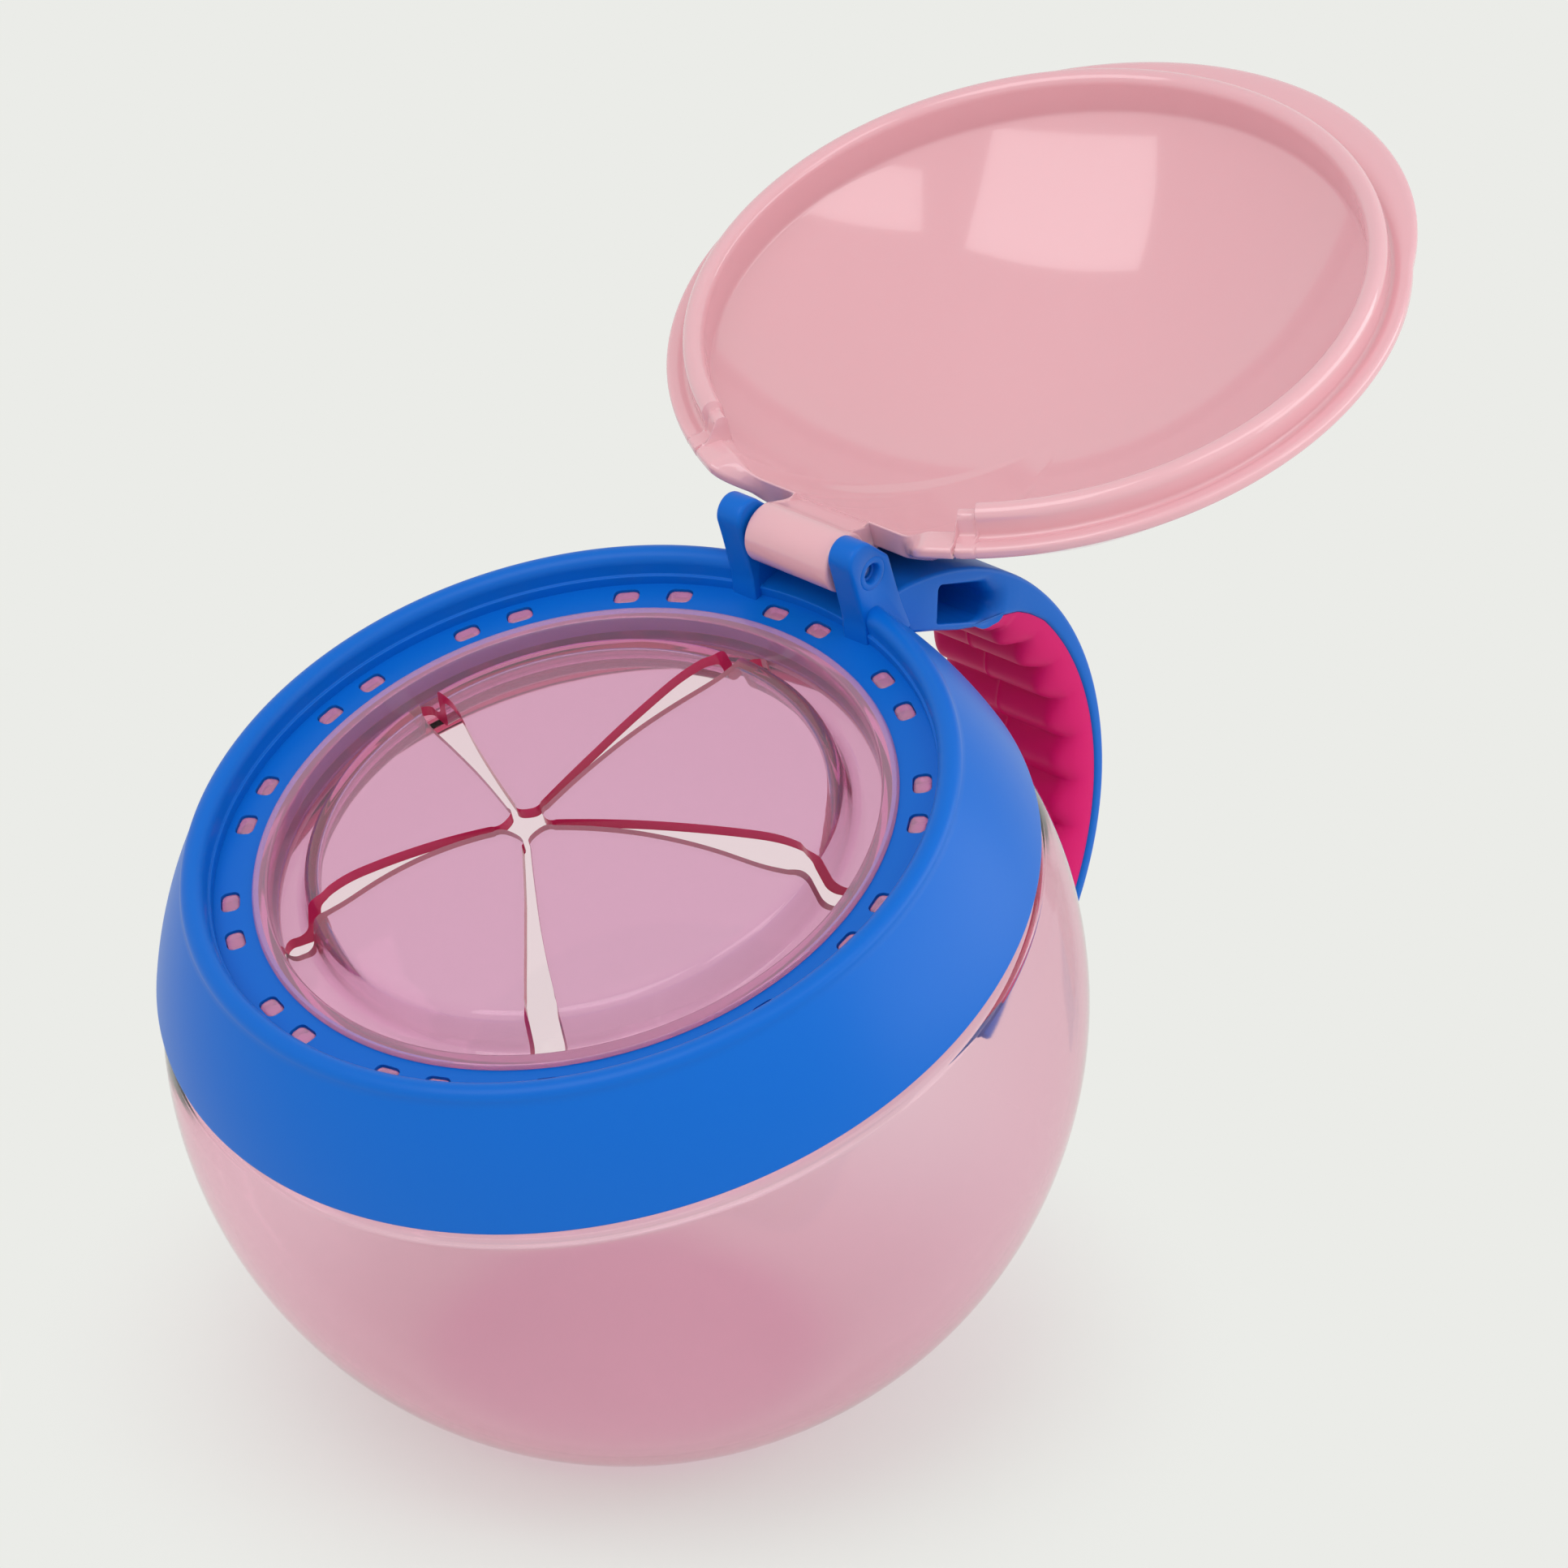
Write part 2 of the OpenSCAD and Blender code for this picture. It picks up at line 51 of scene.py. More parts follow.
import bmesh
import bpy
import numpy as np
from bpy.props import FloatProperty, FloatVectorProperty, IntProperty, PointerProperty
from mathutils import Matrix, Vector
from mathutils.geometry import delaunay_2d_cdt

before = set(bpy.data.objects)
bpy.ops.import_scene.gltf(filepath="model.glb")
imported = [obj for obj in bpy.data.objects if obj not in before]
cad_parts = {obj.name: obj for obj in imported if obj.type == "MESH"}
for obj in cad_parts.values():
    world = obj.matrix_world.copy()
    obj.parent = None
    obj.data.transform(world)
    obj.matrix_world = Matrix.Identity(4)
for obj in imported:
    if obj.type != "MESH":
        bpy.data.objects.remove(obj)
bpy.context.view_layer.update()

MM = 0.001
PHOTO_SIZE = 1932  # the photograph's frame is square


# Properties


def length(name, text, value, low, high):
    """A length property; value, low and high are millimetres."""
    return FloatProperty(
        name=name, description=text, default=value * MM, min=low * MM, max=high * MM,
        unit="LENGTH", precision=5,
    )


def angle(name, text, value, low, high):
    """An angle property; value, low and high are degrees."""
    return FloatProperty(
        name=name, description=text, default=math.radians(value), min=math.radians(low),
        max=math.radians(high), unit="ROTATION",
    )


def colour(name, text, value):
    """A colour property from an sRGB hex string."""
    return FloatVectorProperty(
        name=name, description=text, default=linear(value), size=3, min=0, max=1, subtype="COLOR"
    )


def linear(text):
    """Linear red, green and blue of an sRGB hex string."""
    parts = [int(text[i : i + 2], 16) / 255 for i in (1, 3, 5)]
    return tuple(p / 12.92 if p <= 0.04045 else ((p + 0.055) / 1.055) ** 2.4 for p in parts)


class SNACK_PG_cup(bpy.types.PropertyGroup):
    """Sizes of the ball-shaped cup."""

    ball_d: length("Ball diameter", "Outer diameter of the ball", 95, 80, 110)
    foot_d: length("Foot diameter", "Diameter of the flat foot", 42, 30, 52)
    wall: length("Wall", "Wall of the cup, so thin that the strap shows through the ball", 1, 0.8, 4)
    foot_soft: length("Foot edge", "Softness of the edge round the foot", 3, 0.2, 5)
    neck_wall: length("Neck wall", "Wall of the neck", 2, 1, 3)
    tilt: angle("Tilt", "Lean of the mouth towards the front", 18, 0, 30)


class SNACK_PG_collar(bpy.types.PropertyGroup):
    """Sizes of the collar and its two ears."""

    rise: length("Flange rise", "Height of the flange's top above the ball's centre", 24, 20, 28)
    flange_t: length("Flange thickness", "Thickness of the flange", 1.8, 1, 3)
    depth: length("Skirt depth", "Reach of the skirt below the flange's top", 10, 6, 14)
    proud: length("Proud", "How far the collar stands proud of the ball", 0.6, 0, 2)
    skirt_wall: length("Skirt wall", "Wall of the skirt", 1.8, 1, 3)
    rim_rise: length("Rim rise", "Height of the rim above the flange's top", 3.6, 2, 6)
    rim_w: length("Rim width", "Width of the round rim", 2.5, 1, 4)
    step_h: length("Step height", "Height of the step at the foot of the rim's bore", 1.1, 0.3, 2)
    step_in: length("Step", "Reach of that step", 0.3, 0.1, 1)
    flange_w: length("Flange width", "Width of the flange", 5.1, 3, 8)
    neck_out: length("Neck offset", "Distance of the neck outside the rim's bore", 0.8, 0, 2)
    key_in: length("Key circle", "Distance of the key holes' circle inside the bore", 2.1, 1, 4)
    key_gap: length("Key gap", "Distance between the two holes of a pair", 5.8, 4, 8)
    key_len: length("Key length", "Length of a key hole along the circle", 2.8, 1, 4)
    key_w: length("Key width", "Width of a key hole", 2, 1, 3)
    key_corner: length("Key corner", "Corner radius of a key hole", 0.7, 0.1, 1)
    key_pairs: IntProperty(name="Key pairs", description="Pairs of key holes", default=13, min=3, max=20)
    ear_gap: length("Ear gap", "Gap between the ears", 12, 8, 16)
    ear_t: length("Ear thickness", "Thickness of an ear", 3.2, 1, 5)
    ear_w: length("Ear width", "Width of an ear", 5.7, 4, 8)
    ear_top: length("Ear top", "Height of the ear's round above the pin", 1.4, 0, 3)
    ear_nose: length("Ear nose", "Radius of the rounded front of an ear's top", 2, 1, 3)
    ear_heel: length("Ear heel", "Radius of the bend in an ear's back", 0.8, 0.2, 2)
    hinge_out: length("Hinge offset", "Distance of the pin outside the rim's bore", 1.45, 0, 3)
    hinge_rise: length("Hinge rise", "Height of the pin above the flange's top", 7.3, 5, 10)
    pin_d: length("Pin diameter", "Diameter of the hinge pin", 1.6, 1, 3)
    pin_len: length("Pin length", "Length of the hinge pin", 16.6, 12, 18)


class SNACK_PG_handle(bpy.types.PropertyGroup):
    """Sizes of the strap handle and its grip."""

    width: length("Width", "Width of the strap", 18, 10, 24)
    clear: length("Space", "Space between the ball and the strap", 17, 12, 24)
    up: length("Centre height", "Height of the strap's round centre above the ball's", 3.6, 0, 8)
    radius: length("Radius", "Outer radius of the strap", 33, 25, 40)
    arm_drop: length("Arm drop", "Depth of the arm's top below the hinge pin", 3.6, 2, 6)
    strap_t: length("Strap thickness", "Thickness of the strap at its back", 1.5, 1, 3)
    end: angle("Lower end", "Direction of the strap's lower end below the level", 57, 30, 75)
    grip_t: length("Grip thickness", "Thickness of the grip in its valleys", 3.2, 1, 6)
    grip_end: length("Grip end", "Thickness of the grip where it runs out", 0.4, 0.2, 1)
    ridge_h: length("Ridge height", "Height of the finger ridges", 1.4, 0, 3)
    pitch: length("Ridge pitch", "Distance from ridge to ridge", 6, 3, 12)
    grip_soft: length("Grip edge", "Rounding of the grip's long edges", 2.4, 0.5, 4)


class SNACK_PG_membrane(bpy.types.PropertyGroup):
    """Sizes of the soft membrane and its slits."""

    flap_t: length("Thickness", "Thickness of the membrane", 1.25, 1, 3)
    lip_lap: length("Lip", "How far the lip laps over the flange", 0.8, 0.3, 2)
    lip_h: length("Lip height", "Height of the lip over the flange", 0.6, 0.2, 1.5)
    trough_in: length("Trough wall", "Thickness of the trough's outer wall", 1, 0.5, 2)
    trough_depth: length("Trough depth", "Depth of the trough below the flange's top", 2.5, 1, 4)
    bend_in: length("Bend", "Distance from the trough's wall in to the bend", 1.4, 1, 3)
    plate_in: length("Plate", "Distance from the bend in to the plate's edge", 2.9, 2, 5)
    plate_rise: length("Plate edge", "Height of the plate's edge", 1.8, 0, 4)
    plate_crown: length("Plate crown", "Height of the plate's middle", 2.8, 0, 5)
    seal_t: length("Seal", "Thickness of the sealing skirt under the flange", 1, 0.5, 2)
    slit_turn: angle("Slit turn", "Direction of the first slit's outer end", 3, -20, 20)
    star_front: length("Star front", "Distance of the star in front of the ring axis", 3.2, 0, 6)
    star_side: length("Star side", "Distance of the star beside the ring axis", 3.2, 0, 6)
    slit_in: length("Slit gap inside", "Gap of a slit near the star", 0.8, 0.3, 2)
    slit_out: length("Slit gap outside", "Gap of a slit at the plate's edge", 5, 2, 7)
    slit_end: length("Slit end", "Gap of a slit in the trough", 2.6, 1, 4)


class SNACK_PG_lid(bpy.types.PropertyGroup):
    """Sizes of the domed lid."""

    wall: length("Wall", "Wall of the dome", 1.8, 1, 3)
    clear: length("Seat gap", "Gap between the closed lid and the collar's rim", 0.1, 0, 1)
    over: length("Rim reach", "Reach of the lid's rim outside the bore", 1.8, 1, 3)
    rim_h: length("Rim height", "Height of the lid's rim", 1.7, 1, 3)
    snap_clear: length("Snap gap", "Gap between the snap ridge and the bore", 0.4, 0, 1)
    ridge_w: length("Ridge width", "Width of the snap ridge", 2.3, 1, 4)
    ridge_drop: length("Ridge drop", "Reach of the snap ridge below the lid's rim", 3.1, 1, 5)
    ridge_gap: length("Ridge gap", "Gap in the snap ridge at the hinge", 36, 20, 50)
    tab_reach: length("Tab reach", "How far the thumb tab stands out", 3.4, 1, 6)
    tab_in: length("Tab round", "How much less the tab's radius is than the rim's", 3.9, 1, 8)
    knuckle_r: length("Knuckle", "Radius of the knuckle", 3.2, 3, 5)
    notch: length("Ear notch", "Distance from the pin to the rim beside the knuckle", 4.7, 4, 6)
    ear_clear: length("Ear gap", "Gap between the knuckle and an ear", 0.35, 0.1, 1)
    open: angle("Opening", "Opening of the lid as it lies back", 181.5, 90, 190)


class SNACK_PG_finish(bpy.types.PropertyGroup):
    """Colours of the plastics."""

    collar: colour("Collar", "Colour of the collar and strap", "#0569CD")
    grip: colour("Grip", "Colour of the grip", "#DC0A70")
    lid: colour("Lid", "Colour of the lid", "#E8B2BA")
    floor: colour("Floor", "Colour of the floor and background", "#EBECE8")


GROUPS = {
    "snack_cup": SNACK_PG_cup,
    "snack_collar": SNACK_PG_collar,
    "snack_handle": SNACK_PG_handle,
    "snack_membrane": SNACK_PG_membrane,
    "snack_lid": SNACK_PG_lid,
    "snack_finish": SNACK_PG_finish,
}


def in_mm(group):
    """The group's values by name, with its lengths in millimetres and its angles in radians."""
    values = {}
    for p in group.bl_rna.properties:
        if p.identifier in ("rna_type", "name"):
            continue
        value = getattr(group, p.identifier)
        values[p.identifier] = value / MM if getattr(p, "unit", "") == "LENGTH" else value
    return SimpleNamespace(**values)


def all_sizes(scene):
    """Sizes of every group, with the radii that follow from each other worked out."""
    s = SimpleNamespace(
        cup=in_mm(scene.snack_cup), collar=in_mm(scene.snack_collar), handle=in_mm(scene.snack_handle),
        membrane=in_mm(scene.snack_membrane), lid=in_mm(scene.snack_lid),
    )
    cup, collar, handle, membrane, lid = s.cup, s.collar, s.handle, s.membrane, s.lid
    cup.ball_r = cup.ball_d / 2
    cup.centre_z = math.sqrt(cup.ball_r**2 - (cup.foot_d / 2) ** 2)
    collar.ball_r = cup.ball_r + collar.proud
    collar.rim_round = collar.rim_w / 2
    top = collar.rise + collar.rim_rise - collar.rim_round
    collar.rim_out = math.sqrt(collar.ball_r**2 - top**2)
    collar.rim_r = collar.rim_out - collar.rim_w
    collar.mouth_r = collar.rim_r - collar.flange_w
    collar.key_ring_r = collar.rim_r - collar.key_in
    collar.neck_r = collar.rim_r + collar.neck_out
    collar.hinge_back = collar.rim_r + collar.hinge_out
    membrane.lip_r = collar.mouth_r + membrane.lip_lap
    membrane.trough_r = collar.mouth_r - membrane.trough_in
    membrane.bend_r = membrane.trough_r - membrane.bend_in
    membrane.plate_r = membrane.bend_r - membrane.plate_in
    membrane.star = np.array([-membrane.star_front, membrane.star_side])
    lid.seat = collar.rim_rise + lid.clear
    lid.rim_r = collar.rim_r + lid.over
    lid.ridge_out = collar.rim_r - lid.snap_clear
    lid.ridge_in = lid.ridge_out - lid.ridge_w
    handle.back = cup.ball_r + handle.clear - (handle.radius - handle.strap_t)
    hinge_up = math.sin(cup.tilt) * collar.hinge_back + math.cos(cup.tilt) * (collar.rise + collar.hinge_rise)
    handle.shoulder = hinge_up - handle.arm_drop - handle.up
    return s


# Shapes, in millimetres


def ring_to_world(points, s):
    """Ring frame to world: turn by the tilt about Y, then lift to the ball's centre."""
    c, w = math.cos(s.cup.tilt), math.sin(s.cup.tilt)
    x, y, h = points[..., 0], points[..., 1], points[..., 2] + s.collar.rise
    return np.stack([c * x - w * h, y, s.cup.centre_z + w * x + c * h], axis=-1)


def arc(centre, radius, start, end, count):
    """Points on a circle from angle start to end, in degrees: centre + radius * (cos t, sin t)."""
    t = np.radians(np.linspace(start, end, count))
    return np.array(centre) + radius * np.stack([np.cos(t), np.sin(t)], axis=-1)


def rounded(corners, closed=False, steps=5):
    """A line of (x, y, radius) corners with each corner replaced by an arc tangent to both sides."""
    c = np.array(corners, float)
    p, radius = c[:, :2], c[:, 2]
    points = []
    for i in range(len(p)):
        if radius[i] <= 0 or (not closed and i in (0, len(p) - 1)):
            points.append(p[i : i + 1])
            continue
        to_last, to_next = p[i - 1] - p[i], p[(i + 1) % len(p)] - p[i]
        l1, l2 = np.linalg.norm(to_last), np.linalg.norm(to_next)
        u, v = to_last / l1, to_next / l2
        half = math.acos(max(-1, min(1, float(u @ v)))) / 2
        if half > math.radians(89):
            points.append(p[i : i + 1])
            continue
        tangent = min(radius[i] / math.tan(half), 0.49 * l1, 0.49 * l2)
        r = tangent * math.tan(half)
        mid = (u + v) / np.linalg.norm(u + v)
        centre = p[i] + mid * r / math.sin(half)
        a, b = p[i] + u * tangent - centre, p[i] + v * tangent - centre
        turn = math.pi - 2 * half
        share = np.linspace(0, 1, steps)[:, None]
        points.append(centre + (np.sin((1 - share) * turn) * a + np.sin(share * turn) * b) / math.sin(turn))
    return np.concatenate(points)


def smooth(u):
    """0 below 0, 1 above 1, and a soft step 3 u^2 - 2 u^3 between them."""
    u = np.clip(u, 0, 1)
    return u * u * (3 - 2 * u)


def soft_ends(low, high, soft, steps):
    """Rows of (draw, level) from low to high: each end is drawn in along a quarter circle of radius soft."""
    t = np.linspace(0, math.pi / 2, steps)
    end = soft * np.column_stack([1 - np.sin(t), 1 - np.cos(t)])
    return np.concatenate([end + [0, low], end[::-1] * [1, -1] + [0, high]])


def evenly(line, count):
    """The line's points spread evenly by length."""
    way = np.concatenate([[0], np.cumsum(np.linalg.norm(np.diff(line, axis=0), axis=1))])
    at = np.linspace(0, way[-1], count)
    return np.stack([np.interp(at, way, line[:, i]) for i in range(line.shape[1])], axis=-1)


def revolve(profile, turns):
    """Grid of a profile of (radius, height) turned about the ring axis by each of the angles in turns."""
    r, h = profile[:, 0][:, None], profile[:, 1][:, None]
    return np.stack([r * np.cos(turns), r * np.sin(turns), h + 0 * turns], axis=-1)


def grid_faces(rows, columns, wrap_rows, wrap_columns):
    """Four-sided faces of a grid of points, row by row."""
    i = np.arange(rows if wrap_rows else rows - 1)[:, None]
    j = np.arange(columns if wrap_columns else columns - 1)[None, :]
    this, ahead = i * columns, (i + 1) % rows * columns
    beside = (j + 1) % columns
    return np.stack([this + j, this + beside, ahead + beside, ahead + j], axis=-1).reshape(-1, 4)


def patch(grid, wrap_rows=False, wrap_columns=False, first="open", last="open"):
    """Points and faces of a grid. A first or last row marked fan is closed to its own mean point."""
    rows, columns = grid.shape[:2]
    points = grid.reshape(-1, 3)
    faces = grid_faces(rows, columns, wrap_rows, wrap_columns).tolist()
    for mark, start in ((first, 0), (last, (rows - 1) * columns)):
        if mark == "fan":
            centre = len(points)
            points = np.vstack([points, points[start : start + columns].mean(0)])
            ring = start + np.arange(columns)
            order = np.stack([ring, np.roll(ring, -1), np.full(columns, centre)], axis=-1)
            faces += (order[:, ::-1] if start == 0 else order).tolist()
    return points, faces


def joined(*parts):
    """Several (points, faces) as one."""
    points, faces, start = [], [], 0
    for p, f in parts:
        points.append(p)
        faces += [[i + start for i in face] for face in f]
        start += len(p)
    return np.concatenate(points), faces


def flat_cap(outline, holes, place):
    """A flat piece with holes, cut into triangles between its lines.

    Its outline and holes are (n, 2) lines, and place turns (n, 2) into (n, 3)."""
    lines = [np.asarray(line, float) for line in [outline, *holes]]
    points = [Vector(p) for line in lines for p in line.tolist()]
    edges, start = [], 0
    for line in lines:
        n = len(line)
        edges += [(start + i, start + (i + 1) % n) for i in range(n)]
        start += n
    made = delaunay_2d_cdt(points, edges, [], 1, 1e-5)
    flat = np.array([tuple(p) for p in made[0]])
    triangles = np.array(made[2])
    middle = flat[triangles].mean(1)
    keep = inside(middle, lines[0])
    for hole in lines[1:]:
        keep &= ~inside(middle, hole)
    return place(flat), triangles[keep].tolist()


def inside(points, line):
    """Which points lie in a closed line: a ray towards +x crosses it an odd number of times."""
    a, b = line, np.roll(line, -1, axis=0)
    x, y = points[:, 0][:, None], points[:, 1][:, None]
    across = (a[:, 1] > y) != (b[:, 1] > y)
    with np.errstate(divide="ignore", invalid="ignore"):
        cut = a[:, 0] + (y - a[:, 1]) * (b[:, 0] - a[:, 0]) / (b[:, 1] - a[:, 1])
    return (np.sum(across & (x < cut), axis=1) % 2) == 1


def inset(line, amount):
    """A closed line moved inwards by amount, along the mean of its two sides' normals."""
    before, after = line - np.roll(line, 1, axis=0), np.roll(line, -1, axis=0) - line
    before /= np.linalg.norm(before, axis=1)[:, None]
    after /= np.linalg.norm(after, axis=1)[:, None]
    normal = np.stack([-(before + after)[:, 1], (before + after)[:, 0]], axis=-1)
    area = np.sum(line[:, 0] * np.roll(line[:, 1], -1) - np.roll(line[:, 0], -1) * line[:, 1])
    bend = np.sqrt(np.clip((1 + np.sum(before * after, axis=1)) / 2, 0.3, 1))
    size = (np.linalg.norm(normal, axis=1) * bend)[:, None]
    return line + amount * np.sign(area) * normal / size


def slab(outline, low, high, soft, place, hole, depth, wash):
    """A flat body with soft edges and a blind hole.

    The outline is carried from low to high, its ends drawn in along a quarter circle of radius soft. The
    hole goes down from high by depth, and its mouth is rounded by wash, a length for each of its points.
    place turns rows of (a, b, c) into points."""

    def cap(line, holes, level):
        return flat_cap(line, holes, lambda p: place(np.column_stack([p, np.full(len(p), level)])))

    sides = [np.column_stack([inset(outline, draw), np.full(len(outline), level)])
             for draw, level in soft_ends(low, high, soft, 4)]
    throat = [np.column_stack([inset(hole, -wash[:, None] * (1 - math.sin(a))), high - wash * (1 - math.cos(a))])
              for a in np.linspace(0, math.pi / 2, 7)]
    throat.append(np.column_stack([hole, np.full(len(hole), high - depth)]))
    end = inset(outline, soft)
    return joined(
        patch(place(np.array(sides)), wrap_columns=True),
        cap(end, [], low), cap(end, [inset(hole, -wash[:, None])], high),
        patch(place(np.array(throat)), wrap_columns=True), cap(hole, [], high - depth))


# Objects


def closed_mesh(name, shells, sharp=40.0, second=None):
    """A mesh of closed shells, in metres: near points merged, faces turned outwards, smooth but for sharp
    edges. Faces from number second on take the second material."""
    mesh = bpy.data.meshes.new(name)
    points, faces = joined(*shells)
    mesh.from_pydata((points * MM).tolist(), [], faces)
    if second is not None:
        mesh.polygons.foreach_set("material_index", (np.arange(len(faces)) >= second).astype(int))
    work = bmesh.new()
    work.from_mesh(mesh)
    bmesh.ops.remove_doubles(work, verts=work.verts, dist=2e-6)
    bmesh.ops.dissolve_degenerate(work, edges=work.edges, dist=1e-7)
    bmesh.ops.recalc_face_normals(work, faces=work.faces)
    work.to_mesh(mesh)
    work.free()
    mesh.shade_smooth()
    mesh.set_sharp_from_angle(angle=math.radians(sharp))
    mesh.update()
    return mesh


def place_piece(name, mesh, materials, replaced, body=None, between=None):
    """Adds the piece with its materials, and hides the CAD parts that it stands for.

    It rides on body's empty, or, when between is given, it rides on nothing and keeps its points where they are.
    between holds both bodies and the points where it starts and ends; these are not used."""
    old = bpy.data.objects.get(name)
    if old:
        bpy.data.objects.remove(old)
    piece = bpy.data.objects.new(name, mesh)
    bpy.context.scene.collection.objects.link(piece)
    for material in materials:
        mesh.materials.append(material)
    if between:
        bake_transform(piece)
    else:
        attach(piece, body)
    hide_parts(*replaced)


# Cup


def cup_shell(s):
    """The cup in one surface: ball outside, shoulder, neck, and the cavity inside.

    A profile of (radius, height) is turned about the ring axis; then each point below the foot's level is
    drawn towards the ball's centre by a smooth minimum of its depth and the foot's depth."""
    cup, collar, membrane = s.cup, s.collar, s.membrane
    shoulder = collar.rise - collar.depth - 0.9  # its rounded edge shows as a light line below the collar
    neck_top = collar.rise - collar.flange_t - membrane.seal_t - 0.2
    inner_r = cup.ball_r - cup.wall
    neck_in = collar.neck_r - cup.neck_wall
    hollow_top = shoulder - 1.6
    outer_end = math.degrees(math.asin(shoulder / cup.ball_r))
    inner_end = math.degrees(math.asin(hollow_top / inner_r))
    outer = arc((0, 0), cup.ball_r, -90, outer_end, 120)
    inner = arc((0, 0), inner_r, inner_end, -90, 110)
    neck = rounded([
        (*outer[-6], 0), (*outer[-1], 1.7), (collar.neck_r, shoulder, 0.8), (collar.neck_r, neck_top, 0.5),
        (neck_in, neck_top, 0.5), (neck_in, hollow_top, 1.2), (*inner[0], 1.4), (*inner[1], 0),
    ], steps=8)
    profile = np.concatenate([outer[:-5], neck[1:-1], inner[1:]])
    turns = np.linspace(0, 2 * math.pi, 256, endpoint=False)
    grid = revolve(profile - [0, collar.rise], turns)
    points = ring_to_world(grid, s) - [0, 0, cup.centre_z]
    out = np.linalg.norm(points, axis=-1) > inner_r + cup.wall / 2
    limit = np.where(out, cup.centre_z, cup.centre_z - cup.wall)
    depth = np.maximum(-points[..., 2], 1e-6)
    mix = np.clip(0.5 + 0.5 * (limit - depth) / cup.foot_soft, 0, 1)
    soft = limit * (1 - mix) + depth * mix - cup.foot_soft * mix * (1 - mix)
    low = points[..., 2] < -cup.centre_z / 2
    points = np.where(low[..., None], points * (soft / depth)[..., None], points)
    return patch(points + [0, 0, cup.centre_z], wrap_columns=True, first="fan", last="fan")


# Collar


def collar_turns(s):
    """Angles round the ring: even steps, and more of them where the rim is cut between the ears."""
    edge = math.degrees(math.asin(s.collar.ear_gap / 2 / s.collar.rim_r))
    extra = np.array([edge - 0.1, edge + 0.35])
    return np.radians(np.unique(np.concatenate([np.arange(0, 360, 1.25), extra, 360 - extra])))


def key_outlines(s, grow=0.0):
    """Outlines of all key holes in the ring plane: rounded oblongs, long along their circle."""
    c = s.collar
    a, b, r = c.key_w / 2 + grow, c.key_len / 2 + grow, c.key_corner
    one = rounded([(a, -b, r), (a, b, r), (-a, b, r), (-a, -b, r)], closed=True, steps=5)
    half = math.asin(c.key_gap / 2 / c.key_ring_r)
    lines = []
    for k in range(c.key_pairs):
        for side in (-1, 1):
            t = 2 * math.pi * k / c.key_pairs + side * half
            turn = np.array([[math.cos(t), math.sin(t)], [-math.sin(t), math.cos(t)]])
            lines.append((one + [c.key_ring_r, 0]) @ turn)
    return lines


def collar_shell(s):
    """The collar: its section turned about the ring axis, with the rim lowered between the ears, and a
    flange of flat faces with the key holes cut through."""
    c = s.collar
    turns = collar_turns(s)
    step_r, skirt_r = c.rim_r - c.step_in, c.ball_r - c.skirt_wall
    under, low = -c.flange_t, -c.depth
    web = under - 1.2  # underside of the web from the flange to the skirt
    sleeve_in = c.neck_r + 0.3
    sleeve_out, sleeve_low = sleeve_in + 1.6, low + 1
    round_h = c.rim_rise - c.rim_round
    rim = arc((c.rim_r + c.rim_round, round_h), c.rim_round, 180, 0, 17)
    angle_top = math.degrees(math.asin((c.rise + round_h) / c.ball_r))
    angle_low = math.degrees(math.asin((c.rise + low) / c.ball_r))
    outer = arc((0, -c.rise), c.ball_r, angle_top, angle_low, 26)
    skirt_low = math.sqrt(skirt_r**2 - (c.rise + low) ** 2)
    inside_top = math.sqrt(skirt_r**2 - (c.rise + web) ** 2)
    start = rounded([(step_r, 0, 0), (step_r, c.step_h, 0.2), (c.rim_r, c.step_h, 0.2), (c.rim_r, round_h, 0)])
    end = rounded([
        (*outer[-2], 0), (*outer[-1], 0.5), (skirt_low, low, 0.5), (inside_top, web, 0.5),
        (sleeve_out, web, 0.3), (sleeve_out, sleeve_low, 0.3), (sleeve_in, sleeve_low, 0.3),
        (sleeve_in, under, 0.3), (step_r, under, 0),
    ])
    profile = np.concatenate([start, rim[1:], outer[1:-1], end[1:]])
    grid = revolve(profile, turns)
    away = np.abs((turns + math.pi) % (2 * math.pi) - math.pi)
    between_ears = away < math.asin(c.ear_gap / 2 / c.rim_r)
    grid[..., 2] = np.minimum(grid[..., 2], np.where(between_ears, c.step_h, np.inf))
    parts = [patch(ring_to_world(grid, s), wrap_columns=True)]
    circle = np.stack([np.cos(turns), np.sin(turns)], axis=-1)
    holes = [circle * c.mouth_r, *key_outlines(s)]
    for level in (0.0, under):
        parts.append(flat_cap(circle * step_r, holes,
                              lambda p: ring_to_world(np.column_stack([p, np.full(len(p), level)]), s)))
    for line in holes:
        wall = np.stack([np.column_stack([line, np.full(len(line), h)]) for h in (0.0, under)])
        parts.append(patch(ring_to_world(wall, s), wrap_columns=True))
    return joined(*parts)


